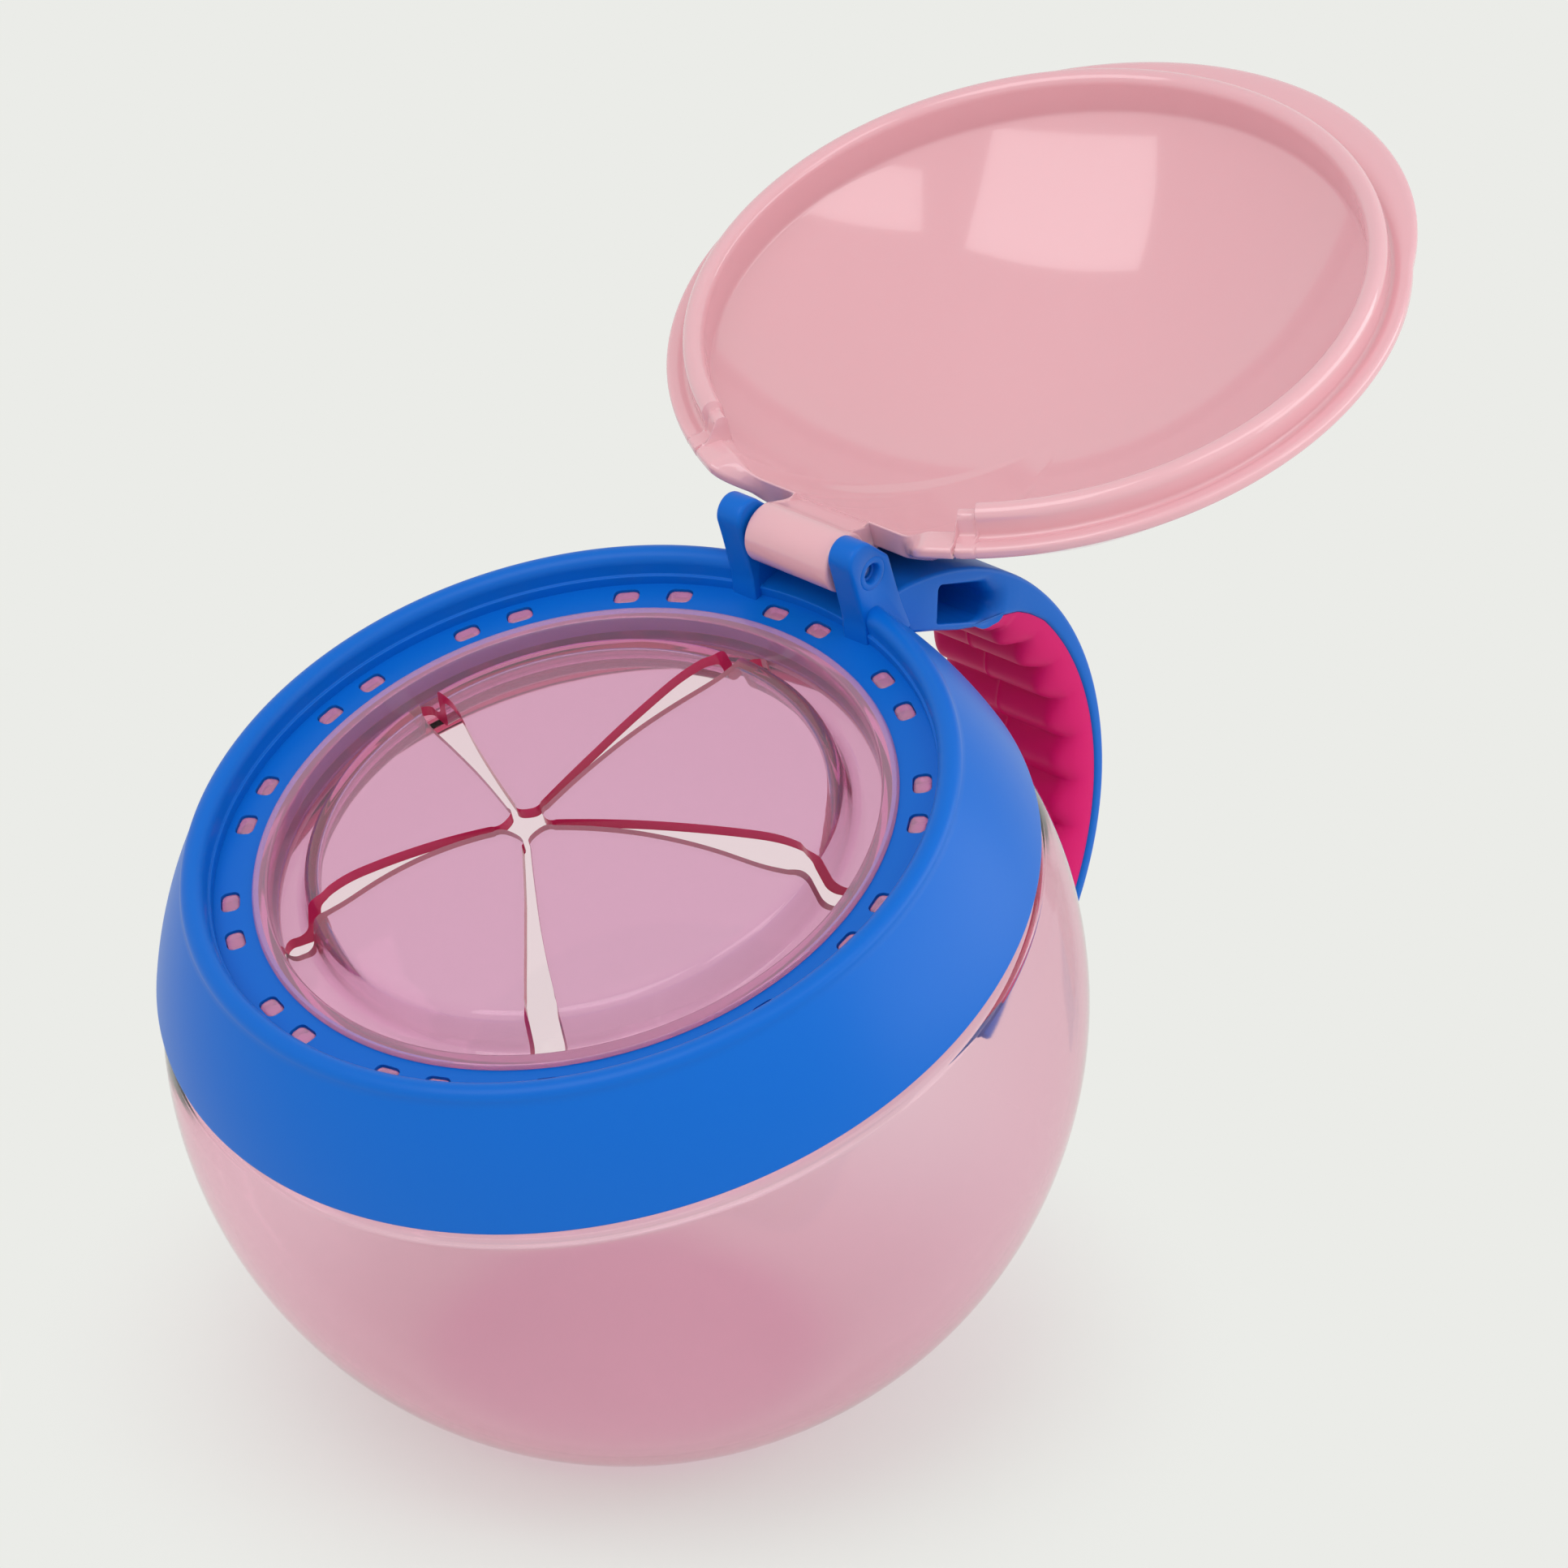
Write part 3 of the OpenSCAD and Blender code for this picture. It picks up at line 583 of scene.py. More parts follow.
def ear_reach(s, turns):
    """Distance from the pin's axis to the ear's outline in each direction of turns.

    The outline has a round nose at the front of its top, a back that slopes down to the heel behind the
    pin, and straight flanks that spread a little at their foot."""
    c = s.collar
    half = c.ear_w / 2
    nose = np.array([c.ear_nose - half, c.ear_top + half - c.ear_nose])
    heel = np.array([half - c.ear_heel, 0.0])
    gap = heel - nose
    far = np.linalg.norm(gap)
    lean = math.degrees(math.atan2(gap[1], gap[0]) + math.acos((c.ear_nose - c.ear_heel) / far))
    foot = -c.hinge_rise - 0.9
    line = np.concatenate([
        [[half + 0.4, foot - 1.9], [half, foot + 2.0]],
        arc(heel, c.ear_heel, 0, lean, 9), arc(nose, c.ear_nose, lean, 180, 25),
        [[-half, foot + 3.2], [-half - 0.35, foot + 1.2], [-half - 0.6, foot]],
    ])
    a, b = line, np.roll(line, -1, axis=0)
    d = np.stack([np.cos(turns), np.sin(turns)], axis=-1)
    e = b - a
    cross = d[:, None, 0] * e[None, :, 1] - d[:, None, 1] * e[None, :, 0]
    with np.errstate(divide="ignore", invalid="ignore"):
        far = (a[None, :, 0] * e[None, :, 1] - a[None, :, 1] * e[None, :, 0]) / cross
        along = (a[None, :, 0] * d[:, None, 1] - a[None, :, 1] * d[:, None, 0]) / cross
    far = np.where((far > 0) & (along >= -1e-6) & (along <= 1 + 1e-6), far, np.inf)
    return far.min(1)


def about_pin(radius, aside, turns, c):
    """Grid of points at radii from the pin's axis in the directions of turns, each row at its own place
    along the pin."""
    return np.stack(np.broadcast_arrays(
        c.hinge_back + radius * np.cos(turns), np.asarray(aside)[:, None], c.hinge_rise + radius * np.sin(turns)),
        axis=-1)


def ear_shell(s, side):
    """One ear: rings round the pin's hole go out over the outer face, round the edge and back over the
    inner face. A shallow ring groove lies round the hole."""
    c = s.collar
    turns = np.linspace(0, 2 * math.pi, 144, endpoint=False) + 0.01
    reach = ear_reach(s, turns)
    hole = c.pin_d / 2 + 0.05
    inner, outer = c.ear_gap / 2, c.ear_gap / 2 + c.ear_t
    face = [(hole, outer - 0.9), (hole + 0.2, outer - 0.8), (hole + 0.22, outer - 0.15), (hole + 0.4, outer)]
    face += [(groove_r, outer - groove) for groove_r, groove in ((1.72, 0), (1.82, 0.06), (1.92, 0))]
    edge = soft_ends(inner, outer, 0.45, 5)[::-1]
    radius = [*(np.full(len(turns), r) for r, _ in face), *(reach - draw for draw, _ in edge)]
    radius = np.array([*radius, np.full(len(turns), hole)])
    aside = side * np.array([*(level for _, level in face), *edge[:, 1], inner])
    grid = about_pin(radius, aside, turns, c)
    return patch(ring_to_world(grid, s), wrap_rows=True, wrap_columns=True)


# Handle


def strap_line(s, t, inner=False):
    """Points of the strap's outer or inner line at angles t in degrees, from the ball's centre: a circle,
    but the outer line's upper half is stretched up to the shoulder."""
    h = s.handle
    t = np.radians(np.atleast_1d(np.asarray(t, float)))
    if inner:
        r = h.radius - h.strap_t
        return np.stack([h.back + r * np.cos(t), h.up + r * np.sin(t)], axis=-1)
    high = np.where(t > 0, h.shoulder, h.radius)
    return np.stack([h.back + h.radius * np.cos(t), h.up + high * np.sin(t)], axis=-1)


POCKET_DEPTH = 14.0
ARM_JOIN = 44.0  # degrees up from the level, where the arm's underside runs into the strap
ARM_UNDER = np.array([  # the arm's underside from the collar to the strap, as shares of the strap's radius
    [-0.667, 0.209], [-0.542, 0.173], [-0.43, 0.132], [-0.345, 0.109], [-0.29, 0.105],
    [-0.205, 0.097], [-0.13, 0.081], [-0.073, 0.052]])


def arm_under(s):
    """The arm's underside from the collar to the strap."""
    return strap_line(s, ARM_JOIN, inner=True)[0] + s.handle.radius * ARM_UNDER


def on_side(s):
    """Turns rows of (x, z, y) from the ball's centre into world points."""
    return lambda p: np.stack([p[..., 0], p[..., 2], p[..., 1] + s.cup.centre_z], axis=-1)


def strap_shell(s):
    """The strap and its arm: the side view's outline as a slab across the handle, with the pocket."""
    h, c, cup = s.handle, s.collar, s.cup
    end, half = math.degrees(h.end), h.width / 2
    join_low = ARM_JOIN - 3
    outer = strap_line(s, np.linspace(-end, 96, 90))
    under = arm_under(s)
    arm = rounded([(*under[0], 0), *[(*q, 4) for q in under[1:]], (*strap_line(s, ARM_JOIN, inner=True)[0], 3),
                   (*strap_line(s, join_low, inner=True)[0], 0)], steps=4)
    inner = strap_line(s, np.linspace(join_low, -end, 70), inner=True)
    tip_mid = (outer[0] + inner[-1]) / 2
    tip = outer[0] - tip_mid
    turn = np.linspace(0, math.pi, 9)[1:-1, None]
    tip_round = tip_mid - np.cos(turn) * tip + np.sin(turn) * [tip[1], -tip[0]]
    line = np.concatenate([outer, arm[:-1], inner, tip_round])
    # the arm starts just inside the collar and at the back of the ears
    far, start = np.linalg.norm(line, axis=1), math.sqrt(c.ball_r**2 - half**2) - 0.4
    line = np.where((far < start)[:, None], line * (start / far)[:, None], line)
    w, k = math.sin(cup.tilt), math.cos(cup.tilt)
    to_ring = np.array([[k, -w], [w, k]])
    ring = line @ to_ring
    ears_back, ears_low = c.hinge_back + c.ear_w / 2 - 1.2, 12
    ring[:, 0] = np.where(ring[:, 1] > ears_low, np.maximum(ring[:, 0], ears_back), ring[:, 0])
    line = ring @ to_ring.T
    line = line[np.linalg.norm(line - np.roll(line, 1, axis=0), axis=1) > 0.03]
    # the pocket: sharp towards the collar, thin-lipped below, and washed out softly towards the strap
    pocket = rounded([
        (-0.1, 0.2, 0.5), (7.4, -2.5, 2.2), (9.6, -5.4, 1.8), (7.4, -6.5, 1.6), (4.6, -5.9, 3), (-0.3, -4.25, 0.4),
    ], closed=True, steps=9) + [h.back + 5.4, h.up + h.shoulder - 2.1]
    wash = 0.25 + 1.9 * np.clip((pocket[:, 0] - h.back - 10) / 4, 0, 1) ** 1.5
    place = on_side(s)
    # high is the -Y side, so that the pocket goes down from it
    return slab(line, -half, half, 0.5, lambda p: place(p * [1, 1, -1]), pocket, POCKET_DEPTH, wash)


def grip_shell(s):
    """The grip: a loop of rounded section is carried along the strap's inner line and on under the arm.

    Its inner line is the strap's round less the valley's depth and round ridges, the size of a sine of the
    way along the strap; its outer line is the strap, and the arm's underside above the strap's end. The
    ridges fade towards the long edges, and a fine seam runs along the middle."""
    h = s.handle
    low, high = -50.0, 62.0
    t = np.linspace(low, high, 281)
    fade = np.clip((t - low) / 10, 0, 1)
    ridge_fade = np.clip((high - t) / 6, 0, 1)
    inner = h.radius - h.strap_t
    wave = np.sqrt(np.sin(math.pi * np.radians(t) * inner / h.pitch) ** 2 + 0.004)
    middle = np.array([h.back, h.up])
    under = arm_under(s)[::-1] - middle
    angles, reach = np.degrees(np.arctan2(under[:, 1], under[:, 0])), np.linalg.norm(under, axis=1)
    outer = np.where(t <= ARM_JOIN, inner, np.interp(t, np.r_[ARM_JOIN, angles], np.r_[inner, reach]))
    half = h.width / 2 - 0.2
    y = half * np.concatenate([np.linspace(-1, -0.55, 14), np.linspace(-0.5, -0.05, 8), [-0.018, 0, 0.018],
                               np.linspace(0.05, 0.5, 8), np.linspace(0.55, 1, 14)])
    seam = np.where(y == 0, 0.13, 0)
    valley = (h.grip_end + fade * (h.grip_t - h.grip_end) - (inner - outer))[:, None]
    crest = (fade * h.ridge_h * ridge_fade * wave)[:, None]
    r = np.minimum(h.grip_soft, np.maximum(valley + crest, 0.1) * 0.8)
    side = np.clip((np.abs(y) - (half - r)) / r, 0, 1)
    top = valley + (crest + seam) * (1 - side**2) - r * (1 - np.sqrt(1 - side**2))
    top = np.pad(np.maximum(top, 0.05), ((0, 0), (1, 1)))
    radius = outer[:, None] + 0.02 - top
    t = np.radians(t)[:, None]
    grid = np.stack([middle[0] + np.cos(t) * radius, middle[1] + np.sin(t) * radius,
                     np.r_[-half, y, half] + 0 * radius], axis=-1)
    return patch(on_side(s)(grid), wrap_columns=True, first="fan", last="fan")


# Membrane


def ring_seam(s):
    """Radius of the crease between trough floor and wall, where flaps and ring meet."""
    return s.membrane.trough_r - 0.45


def membrane_ring_shells(s):
    """The fixed ring: lip, trough wall and sealing skirt turned about the ring axis, and the keys."""
    c, m = s.collar, s.membrane
    low = -m.trough_depth - m.flap_t
    seam = ring_seam(s)
    under, seal_low, seal_out = -c.flange_t, -c.flange_t - m.seal_t, c.rim_r - 0.5
    section = rounded([
        (seam, low, 0.1), (seam, -m.trough_depth - 0.05, 0.1), (seam + 0.1, -m.trough_depth + 0.9, 0.6),
        (m.trough_r, m.lip_h, 0.35), (m.lip_r - 0.3, m.lip_h, 0.3), (m.lip_r, 0.02, 0.1), (c.mouth_r, 0.02, 0),
        (c.mouth_r - 0.02, under, 0), (seal_out, under, 0), (seal_out, seal_low, 0.2),
        (m.trough_r + 0.7, seal_low, 0.3), (m.trough_r + 0.3, low, 0.5),
    ], closed=True)
    turns = np.linspace(0, 2 * math.pi, 288, endpoint=False)
    parts = [patch(ring_to_world(revolve(section, turns), s), wrap_rows=True, wrap_columns=True)]
    for line in key_outlines(s, grow=-0.06):
        rows = [np.column_stack([inset(line, d), np.full(len(line), h)])
                for d, h in ((0, under - 0.3), (0, -0.4), (0.1, -0.22), (0.3, -0.12), (0.55, -0.1))]
        parts.append(patch(ring_to_world(np.array(rows), s), wrap_columns=True, first="fan", last="fan"))
    return parts


# The five slits are not alike, so each has its own value
SLIT_SHIFT = (0, 0, -2, -4, -6)  # degrees, from even fifths
SLIT_BOW = (0.9, 0.0, -1.8, 0.0, 1.6)  # millimetres, towards the next flap
SLIT_WIDTH = (1.05, 1, 1, 0.72, 1.25)  # share of the gap at the plate's edge
SLIT_FOOT = (1, 1, 1, 1.3, 1)  # share of the gap in the trough


def slit_dir(s, k):
    """Direction of slit k's outer end, in degrees."""
    return math.degrees(s.membrane.slit_turn) + 72 * k + SLIT_SHIFT[k % 5]


def flap_dir(s, n):
    """Direction of the middle of flap n, in radians."""
    return math.radians((slit_dir(s, n - 1) + slit_dir(s, n)) / 2)


def slit_side(s, k, share, side):
    """Points on one side of slit k at shares of its length: a bowed line from the star to the plate's edge,
    moved sideways by half of a gap that grows with the power 2.2 of the share."""
    m = s.membrane
    t = math.radians(slit_dir(s, k))
    run = m.plate_r * np.array([math.cos(t), math.sin(t)]) - m.star
    along = run / np.linalg.norm(run)
    left = np.array([-along[1], along[0]])
    share = np.atleast_1d(share)
    gap = m.slit_in + (m.slit_out * SLIT_WIDTH[k % 5] - m.slit_in) * share**2.2
    aside = SLIT_BOW[k % 5] * 4 * share * (1 - share) + side * gap / 2
    return m.star + share[:, None] * run + aside[:, None] * left


def between_sides(a, b, u, centre):
    """Points from a to b at shares u, with radius and direction about centre both going evenly."""
    pa, pb = a - centre, b - centre
    ra, rb = np.linalg.norm(pa, axis=-1), np.linalg.norm(pb, axis=-1)
    ta = np.arctan2(pa[..., 1], pa[..., 0])
    tb = ta + (np.arctan2(pb[..., 1], pb[..., 0]) - ta) % (2 * math.pi)
    r = ra[:, None] * (1 - u) + rb[:, None] * u
    t = ta[:, None] * (1 - u) + tb[:, None] * u
    return centre + np.stack([r * np.cos(t), r * np.sin(t)], axis=-1)


def flap_shell(s, n):
    """Flap n between slits n - 1 and n, as an upper and a lower sheet joined round their edge, and the
    number of the sheets' faces.

    From the star outwards: a rounded tip, the plate between the slits' sides, its edge, the wall down and
    the trough's floor up to the seam. Each row of points runs across the flap."""
    m = s.membrane
    a, b = n - 1, n
    u = np.linspace(0, 1, 41)[None, :]
    share = np.linspace(0, 1, 40)

    def from_tip(k, side):
        """The slit's side from the flap's tip, which starts 3.2 mm from the star's middle."""
        start = 3.2 / np.linalg.norm(slit_side(s, k, 1.0, side)[0] - m.star)
        return slit_side(s, k, start + (1 - start) * share, side)

    side_a, side_b = from_tip(a, 1), from_tip(b, -1)
    near = between_sides(side_a, side_b, u, m.star)
    ring = between_sides(side_a, side_b, u, np.zeros(2))
    mix = smooth((share - 0.3) / 0.7)[:, None, None]
    plate = near * (1 - mix) + ring * mix
    # rounded tip: rows between points of a curve from side to side through the tip
    pa, pb = side_a[0], side_b[0]
    middle = (pa + pb) / 2
    inwards = m.star - middle
    inwards /= np.linalg.norm(inwards)
    t = np.linspace(0, math.pi / 2, 8)[:-1, None, None]
    left, right = (middle + (p - middle) * np.sin(t) ** 0.8 + 0.9 * np.cos(t) * inwards for p in (pa, pb))
    plate = np.concatenate([left * (1 - u[..., None]) + right * u[..., None], plate])
    r = np.linalg.norm(plate, axis=-1)
    top = m.plate_crown - (m.plate_crown - m.plate_rise) * (r / m.plate_r) ** 2
    upper = np.dstack([plate, top])
    lower = np.dstack([plate, top - m.flap_t])
    # the edge of the plate, the wall and the floor, as profiles of the upper and lower sheet
    seam = ring_seam(s) + 0.2
    foot = m.plate_r + 1.15
    edge_in, edge_h, floor = m.plate_r - 1.9, m.plate_rise + 0.12, -m.trough_depth
    over = rounded([(edge_in, edge_h, 0), (m.plate_r + 0.15, m.plate_rise, 2.0), (foot, floor, 1.4),
                    (seam, floor, 0)], steps=12)
    under = rounded([(edge_in, edge_h - m.flap_t, 0), (m.plate_r - 0.9, m.plate_rise - m.flap_t, 1.2),
                     (foot - 1.1, floor - m.flap_t, 1.5), (seam, floor - m.flap_t, 0)], steps=12)
    over, under = evenly(over, 34), evenly(under, 34)

    def half_gap(radius, k):
        """Half of slit k's gap at a radius: it narrows down the wall and ends round in the trough."""
        wide, end_gap = m.slit_out * SLIT_WIDTH[k % 5] / 2, m.slit_end * SLIT_FOOT[k % 5] / 2
        straight = wide + (end_gap - wide) * smooth((radius - m.plate_r) / 1.6)
        close = np.clip(radius - (ring_seam(s) - end_gap), 0, end_gap)
        return np.minimum(straight, np.sqrt(np.maximum(end_gap**2 - close**2, 0)) + 1e-3)

    def turned(profile):
        """The profile turned about the ring axis from slit to slit."""
        radius = np.maximum(profile[:, 0], m.plate_r)
        low = np.radians(slit_dir(s, a)) + np.arcsin(half_gap(radius, a) / m.plate_r)
        high = np.radians(slit_dir(s, b)) - np.arcsin(half_gap(radius, b) / m.plate_r)
        t = low[:, None] * (1 - u) + high[:, None] * u
        r = profile[:, 0][:, None]
        return np.dstack([r * np.cos(t), r * np.sin(t), profile[:, 1][:, None] + 0 * t])

    # the plate's rows give way to the edge's where their middle comes near it
    keep = int(np.sum(np.linalg.norm(upper[:, upper.shape[1] // 2, :2], axis=1) < edge_in - 0.3))
    direction = flap_dir(s, n)
    sheets = [eased(np.concatenate([plate[:keep], turned(edge)]), direction, seam - 1.2)
              for plate, edge in ((upper, over), (lower, under))]
    return sheet_body(*sheets, s)


def eased(grid, middle, limit):
    """The grid with its directions about the ring axis averaged over nearby rows by a bell curve, out to
    the radius limit: the slits' sides then bend softly where they leave the plate."""
    r = np.hypot(grid[..., 0], grid[..., 1])
    t = (np.arctan2(grid[..., 1], grid[..., 0]) - middle + math.pi) % (2 * math.pi) - math.pi
    reach = 7
    weight = np.exp(-0.5 * (np.arange(-reach, reach + 1) / 3.2) ** 2)
    ends = np.pad(t, ((reach, reach), (0, 0)), mode="edge")
    soft = sum(w * ends[i : i + len(t)] for i, w in enumerate(weight)) / weight.sum()
    share = np.clip((limit - r) / 0.8, 0, 1) * np.clip((np.arange(len(t))[:, None] - 20) / 8, 0, 1)
    t = middle + t * (1 - share) + soft * share
    return np.dstack([r * np.cos(t), r * np.sin(t), grid[..., 2]])


def sheet_body(upper, lower, s):
    """Closes an upper and a lower grid of equal size with a strip round their edge, and gives the number
    of the two grids' faces, which come first."""
    parts = [patch(ring_to_world(upper, s)), patch(ring_to_world(lower, s))]
    share = np.linspace(0, 1, 4)[:, None, None]
    for side in (np.s_[:, 0], np.s_[:, -1], np.s_[0], np.s_[-1]):
        parts.append(patch(ring_to_world(upper[side] * (1 - share) + lower[side] * share, s)))
    return joined(*parts), sum(len(faces) for _, faces in parts[:2])


# Lid


def lid_to_world(points, s):
    """Closed place in the ring frame to the open place: turned about the pin, then to world."""
    back, rise = s.collar.hinge_back, s.collar.hinge_rise
    c, w = math.cos(s.lid.open), math.sin(s.lid.open)
    x, h = points[..., 0] - back, points[..., 2] - rise
    return ring_to_world(np.stack([back + x * c + h * w, points[..., 1], rise - x * w + h * c], axis=-1), s)


DOME_ROWS = 70
EDGE_POINTS = 96
# Where one kind of edge passes into the next, in mm from the middle of the hinge
TONGUE_END = (5.0, 5.36)
NOTCH_END = (9.4, 13.7)
BLOCK_START = (16.0, 16.4)


def lid_sections(s):
    """Half sections of the closed lid as (radius, height) lines of equal length, for its kinds of edge."""
    lid, collar, cup = s.lid, s.collar, s.cup
    seat, rim_r, rise = lid.seat, lid.rim_r, collar.rise
    inner_r = cup.ball_r - lid.wall
    rim_top, low = seat + lid.rim_h, seat - lid.ridge_drop

    def dome(r, reach):
        """The dome's line of radius r from its crown out to the reach."""
        return arc((0, -rise), r, 90, math.degrees(math.acos(reach / r)), DOME_ROWS)

    def section(outer_end, inner_start, edge):
        """Dome outside down to radius outer_end, the edge, and the dome inside from radius inner_start."""
        outer, inner = dome(cup.ball_r, outer_end), dome(inner_r, inner_start)[::-1]
        line = rounded([(*outer[-2], 0), (*outer[-1], edge[0]), *edge[1:-1], (*inner[0], edge[-1]),
                        (*inner[1], 0)], steps=7)
        return np.concatenate([outer[:-1], evenly(line[1:-1], EDGE_POINTS), inner[1:]])

    top_r = math.sqrt(cup.ball_r**2 - (rise + rim_top) ** 2)
    side = [1.2, (rim_r, rim_top - 0.2, 0.7), (rim_r, seat, 0.45), (lid.ridge_out + 1.0, seat, 0.5)]
    cut = collar.hinge_back - lid.notch
    made = {
        "ridge": section(top_r, lid.ridge_in, side + [
            (lid.ridge_out - 0.1, seat + 0.45, 0.5), (lid.ridge_out, low, 1.1), (lid.ridge_in, low, 1.1), 1.5]),
        "block": section(top_r, lid.ridge_in + 0.3, side + [
            (lid.ridge_out - 0.1, seat, 0.3), (lid.ridge_out - 0.7, low + 0.9, 0.6),
            (lid.ridge_in + 0.3, low + 0.8, 0.8), 0.5]),
        "rim": section(top_r, lid.ridge_in + 0.5, side + [
            (lid.ridge_out + 0.4, seat, 0.5), (lid.ridge_in + 1.6, seat + 0.05, 0.8), 2.0]),
        "notch": section(cut, cut - 0.15, [0.6, (cut, 5.6, 0.6), (cut - 0.25, 5.6, 0.3), 0.2]),
    }
    # between the ears a tongue runs on from the dome into the knuckle
    pin = np.array([collar.hinge_back, collar.hinge_rise])
    meet = math.radians(233)
    foot = pin + (lid.knuckle_r + 0.02) * np.array([math.cos(meet), math.sin(meet)])
    start_r = 33.0
    outer, inner = dome(cup.ball_r, start_r + 0.4), dome(inner_r, start_r)[::-1]
    start = np.array([start_r, math.sqrt(inner_r**2 - start_r**2) - rise])
    arrive = np.array([-math.sin(meet), math.cos(meet)])
    leave = np.array([start[1] + rise, -start[0]]) / inner_r
    u = np.linspace(0, 1, 30)[:, None]
    far = np.linalg.norm(foot - start)
    bend = ((2 * u**3 - 3 * u**2 + 1) * start + (u**3 - 2 * u**2 + u) * leave * far
            + (3 * u**2 - 2 * u**3) * foot + (u**3 - u**2) * arrive * far)
    in_knuckle = pin + [[-1.5, 2.75], [-1.5, 1.2], [-1.4, -1.2], [-1.1, -2.6]]
    lap = arc(pin, lid.knuckle_r + 0.02, 250, 234, 8)
    line = np.concatenate([outer[-1:], in_knuckle, lap, bend[::-1]])
    made["tongue"] = np.concatenate([outer[:-1], evenly(line, EDGE_POINTS), inner[1:]])
    return made


def lid_shell(s):
    """The lid in one surface: half sections set round the lid's axis, one kind of edge passing into the next.

    From the middle of the hinge outwards: tongue, notch for the ear, plain rim, end block of the snap ridge,
    and the ridge. The rim's outer points reach out to the thumb tab's circle at the front."""
    lid = s.lid
    rim_r = lid.rim_r
    at = rim_r - 3
    gap = lid.ridge_gap / 2
    steps = [5.0, 5.12, 5.24, 5.36, *np.arange(9.4, 14.0, 0.35), 16.0, 16.12, 16.24, 16.4,
             gap - 0.1, gap - 0.02, gap + 0.06, gap + 0.2]
    side = np.degrees(np.arcsin(np.array(steps) / at))
    turns = np.radians(np.unique(np.concatenate([np.arange(0, 360, 1.2), side, 360 - side])))
    aside = np.abs(at * np.sin(turns))
    hinge = np.cos(turns) > 0

    def beyond(start, end):
        """0 before start, 1 after end, both lengths from the middle of the hinge."""
        return np.where(hinge, smooth((aside - start) / (end - start)), 1)[None, :, None]

    columns = {k: np.repeat(v[:, None, :], len(turns), axis=1) for k, v in lid_sections(s).items()}
    straight = 1 / np.where(hinge & (aside < 14), np.cos(turns), 1)
    for kind in ("tongue", "notch"):  # their edges run straight along the hinge
        columns[kind][DOME_ROWS - 10 :, :, 0] *= straight
    flat = columns["tongue"]
    for kind, ends in (("notch", TONGUE_END), ("rim", NOTCH_END), ("block", BLOCK_START),
                       ("ridge", (gap - 0.1, gap + 0.2))):
        share = beyond(*ends)
        flat = flat * (1 - share) + columns[kind] * share
    grid = np.stack([flat[..., 0] * np.cos(turns), flat[..., 0] * np.sin(turns), flat[..., 1]], axis=-1)
    # thumb tab: rows of the rim's side move out to the tab's circle
    tab_r = rim_r - lid.tab_in
    middle = -(rim_r + lid.tab_reach - tab_r)
    cosine = np.cos(turns)
    reach = middle * cosine + np.sqrt(np.maximum(tab_r**2 - (middle * np.sin(turns)) ** 2, 0))
    reach = np.where(cosine < 0, np.maximum(reach, rim_r), rim_r)
    radius = np.linalg.norm(grid[..., :2], axis=-1)
    edge = np.clip((radius - (rim_r - 1.6)) / 1.6, 0, 1)
    grow = 1 + edge * (reach - rim_r)[None, :] / rim_r
    grid[..., :2] *= grow[..., None]
    return patch(lid_to_world(grid, s), wrap_columns=True, first="fan", last="fan")


def knuckle_shell(s):
    """The knuckle: a barrel round the pin with soft ends and the pin's bore."""
    lid, collar = s.lid, s.collar
    half, bore = collar.ear_gap / 2 - lid.ear_clear, collar.pin_d / 2 + 0.05
    draw, along = soft_ends(-half, half, 0.4, 6).T
    turns = np.linspace(0, 2 * math.pi, 96, endpoint=False)
    grid = about_pin(np.r_[bore, lid.knuckle_r - draw, bore][:, None], np.r_[-half, along, half], turns, collar)
    return patch(lid_to_world(grid, s), wrap_rows=True, wrap_columns=True)


# Pin


def pin_shell(s):
    """The hinge pin: a rod with rounded ends along the hinge."""
    c = s.collar
    r, half = c.pin_d / 2, c.pin_len / 2
    radius, along = rounded([(0, -half, 0), (r, -half + 0.1, 0.35), (r, half - 0.1, 0.35), (0, half, 0)]).T
    turns = np.linspace(0, 2 * math.pi, 48, endpoint=False)
    return patch(ring_to_world(about_pin(radius[:, None], along, turns, c), s), wrap_columns=True)


# Materials


def add_node(tree, kind, links=(), **settings):
    """Adds a node. A setting that names a socket fills it, any other sets an attribute; links are
    (input name, output socket)."""
    node = tree.nodes.new(kind)
    for name, value in settings.items():
        socket = name.replace("_", " ")
        if socket in node.inputs:
            node.inputs[socket].default_value = value
        else:
            setattr(node, name, value)
    for name, output in links:
        tree.links.new(output, node.inputs[name])
    return node


def new_material(name):
    """An empty node material and its output node."""
    material = bpy.data.materials.get(name) or bpy.data.materials.new(name)
    material.use_nodes = True
    material.node_tree.nodes.clear()
    return material, add_node(material.node_tree, "ShaderNodeOutputMaterial")


def moulded_bump(tree, waves_mm, height_mm):
    """A gentle unevenness, as an injection-moulded face has, from noise of the given wave length."""
    place = add_node(tree, "ShaderNodeTexCoord")
    noise = add_node(tree, "ShaderNodeTexNoise", links=[("Vector", place.outputs["Object"])],
                     noise_dimensions="4D", W=0.0, Scale=1 / (waves_mm * MM), Detail=2.0, Roughness=0.5)
    return add_node(tree, "ShaderNodeBump", links=[("Height", noise.outputs["Fac"])],
                    Strength=1.0, Distance=height_mm * MM)


def solid_finish(name, waves_mm, height_mm, **settings):
    """A material that light doesn't pass straight through, with a moulded face and the given settings."""
    material, out = new_material(name)
    bump = moulded_bump(material.node_tree, waves_mm, height_mm)
    shader = add_node(material.node_tree, "ShaderNodeBsdfPrincipled", links=[("Normal", bump.outputs["Normal"])],
                      **settings)
    material.node_tree.links.new(shader.outputs[0], out.inputs["Surface"])
    return material


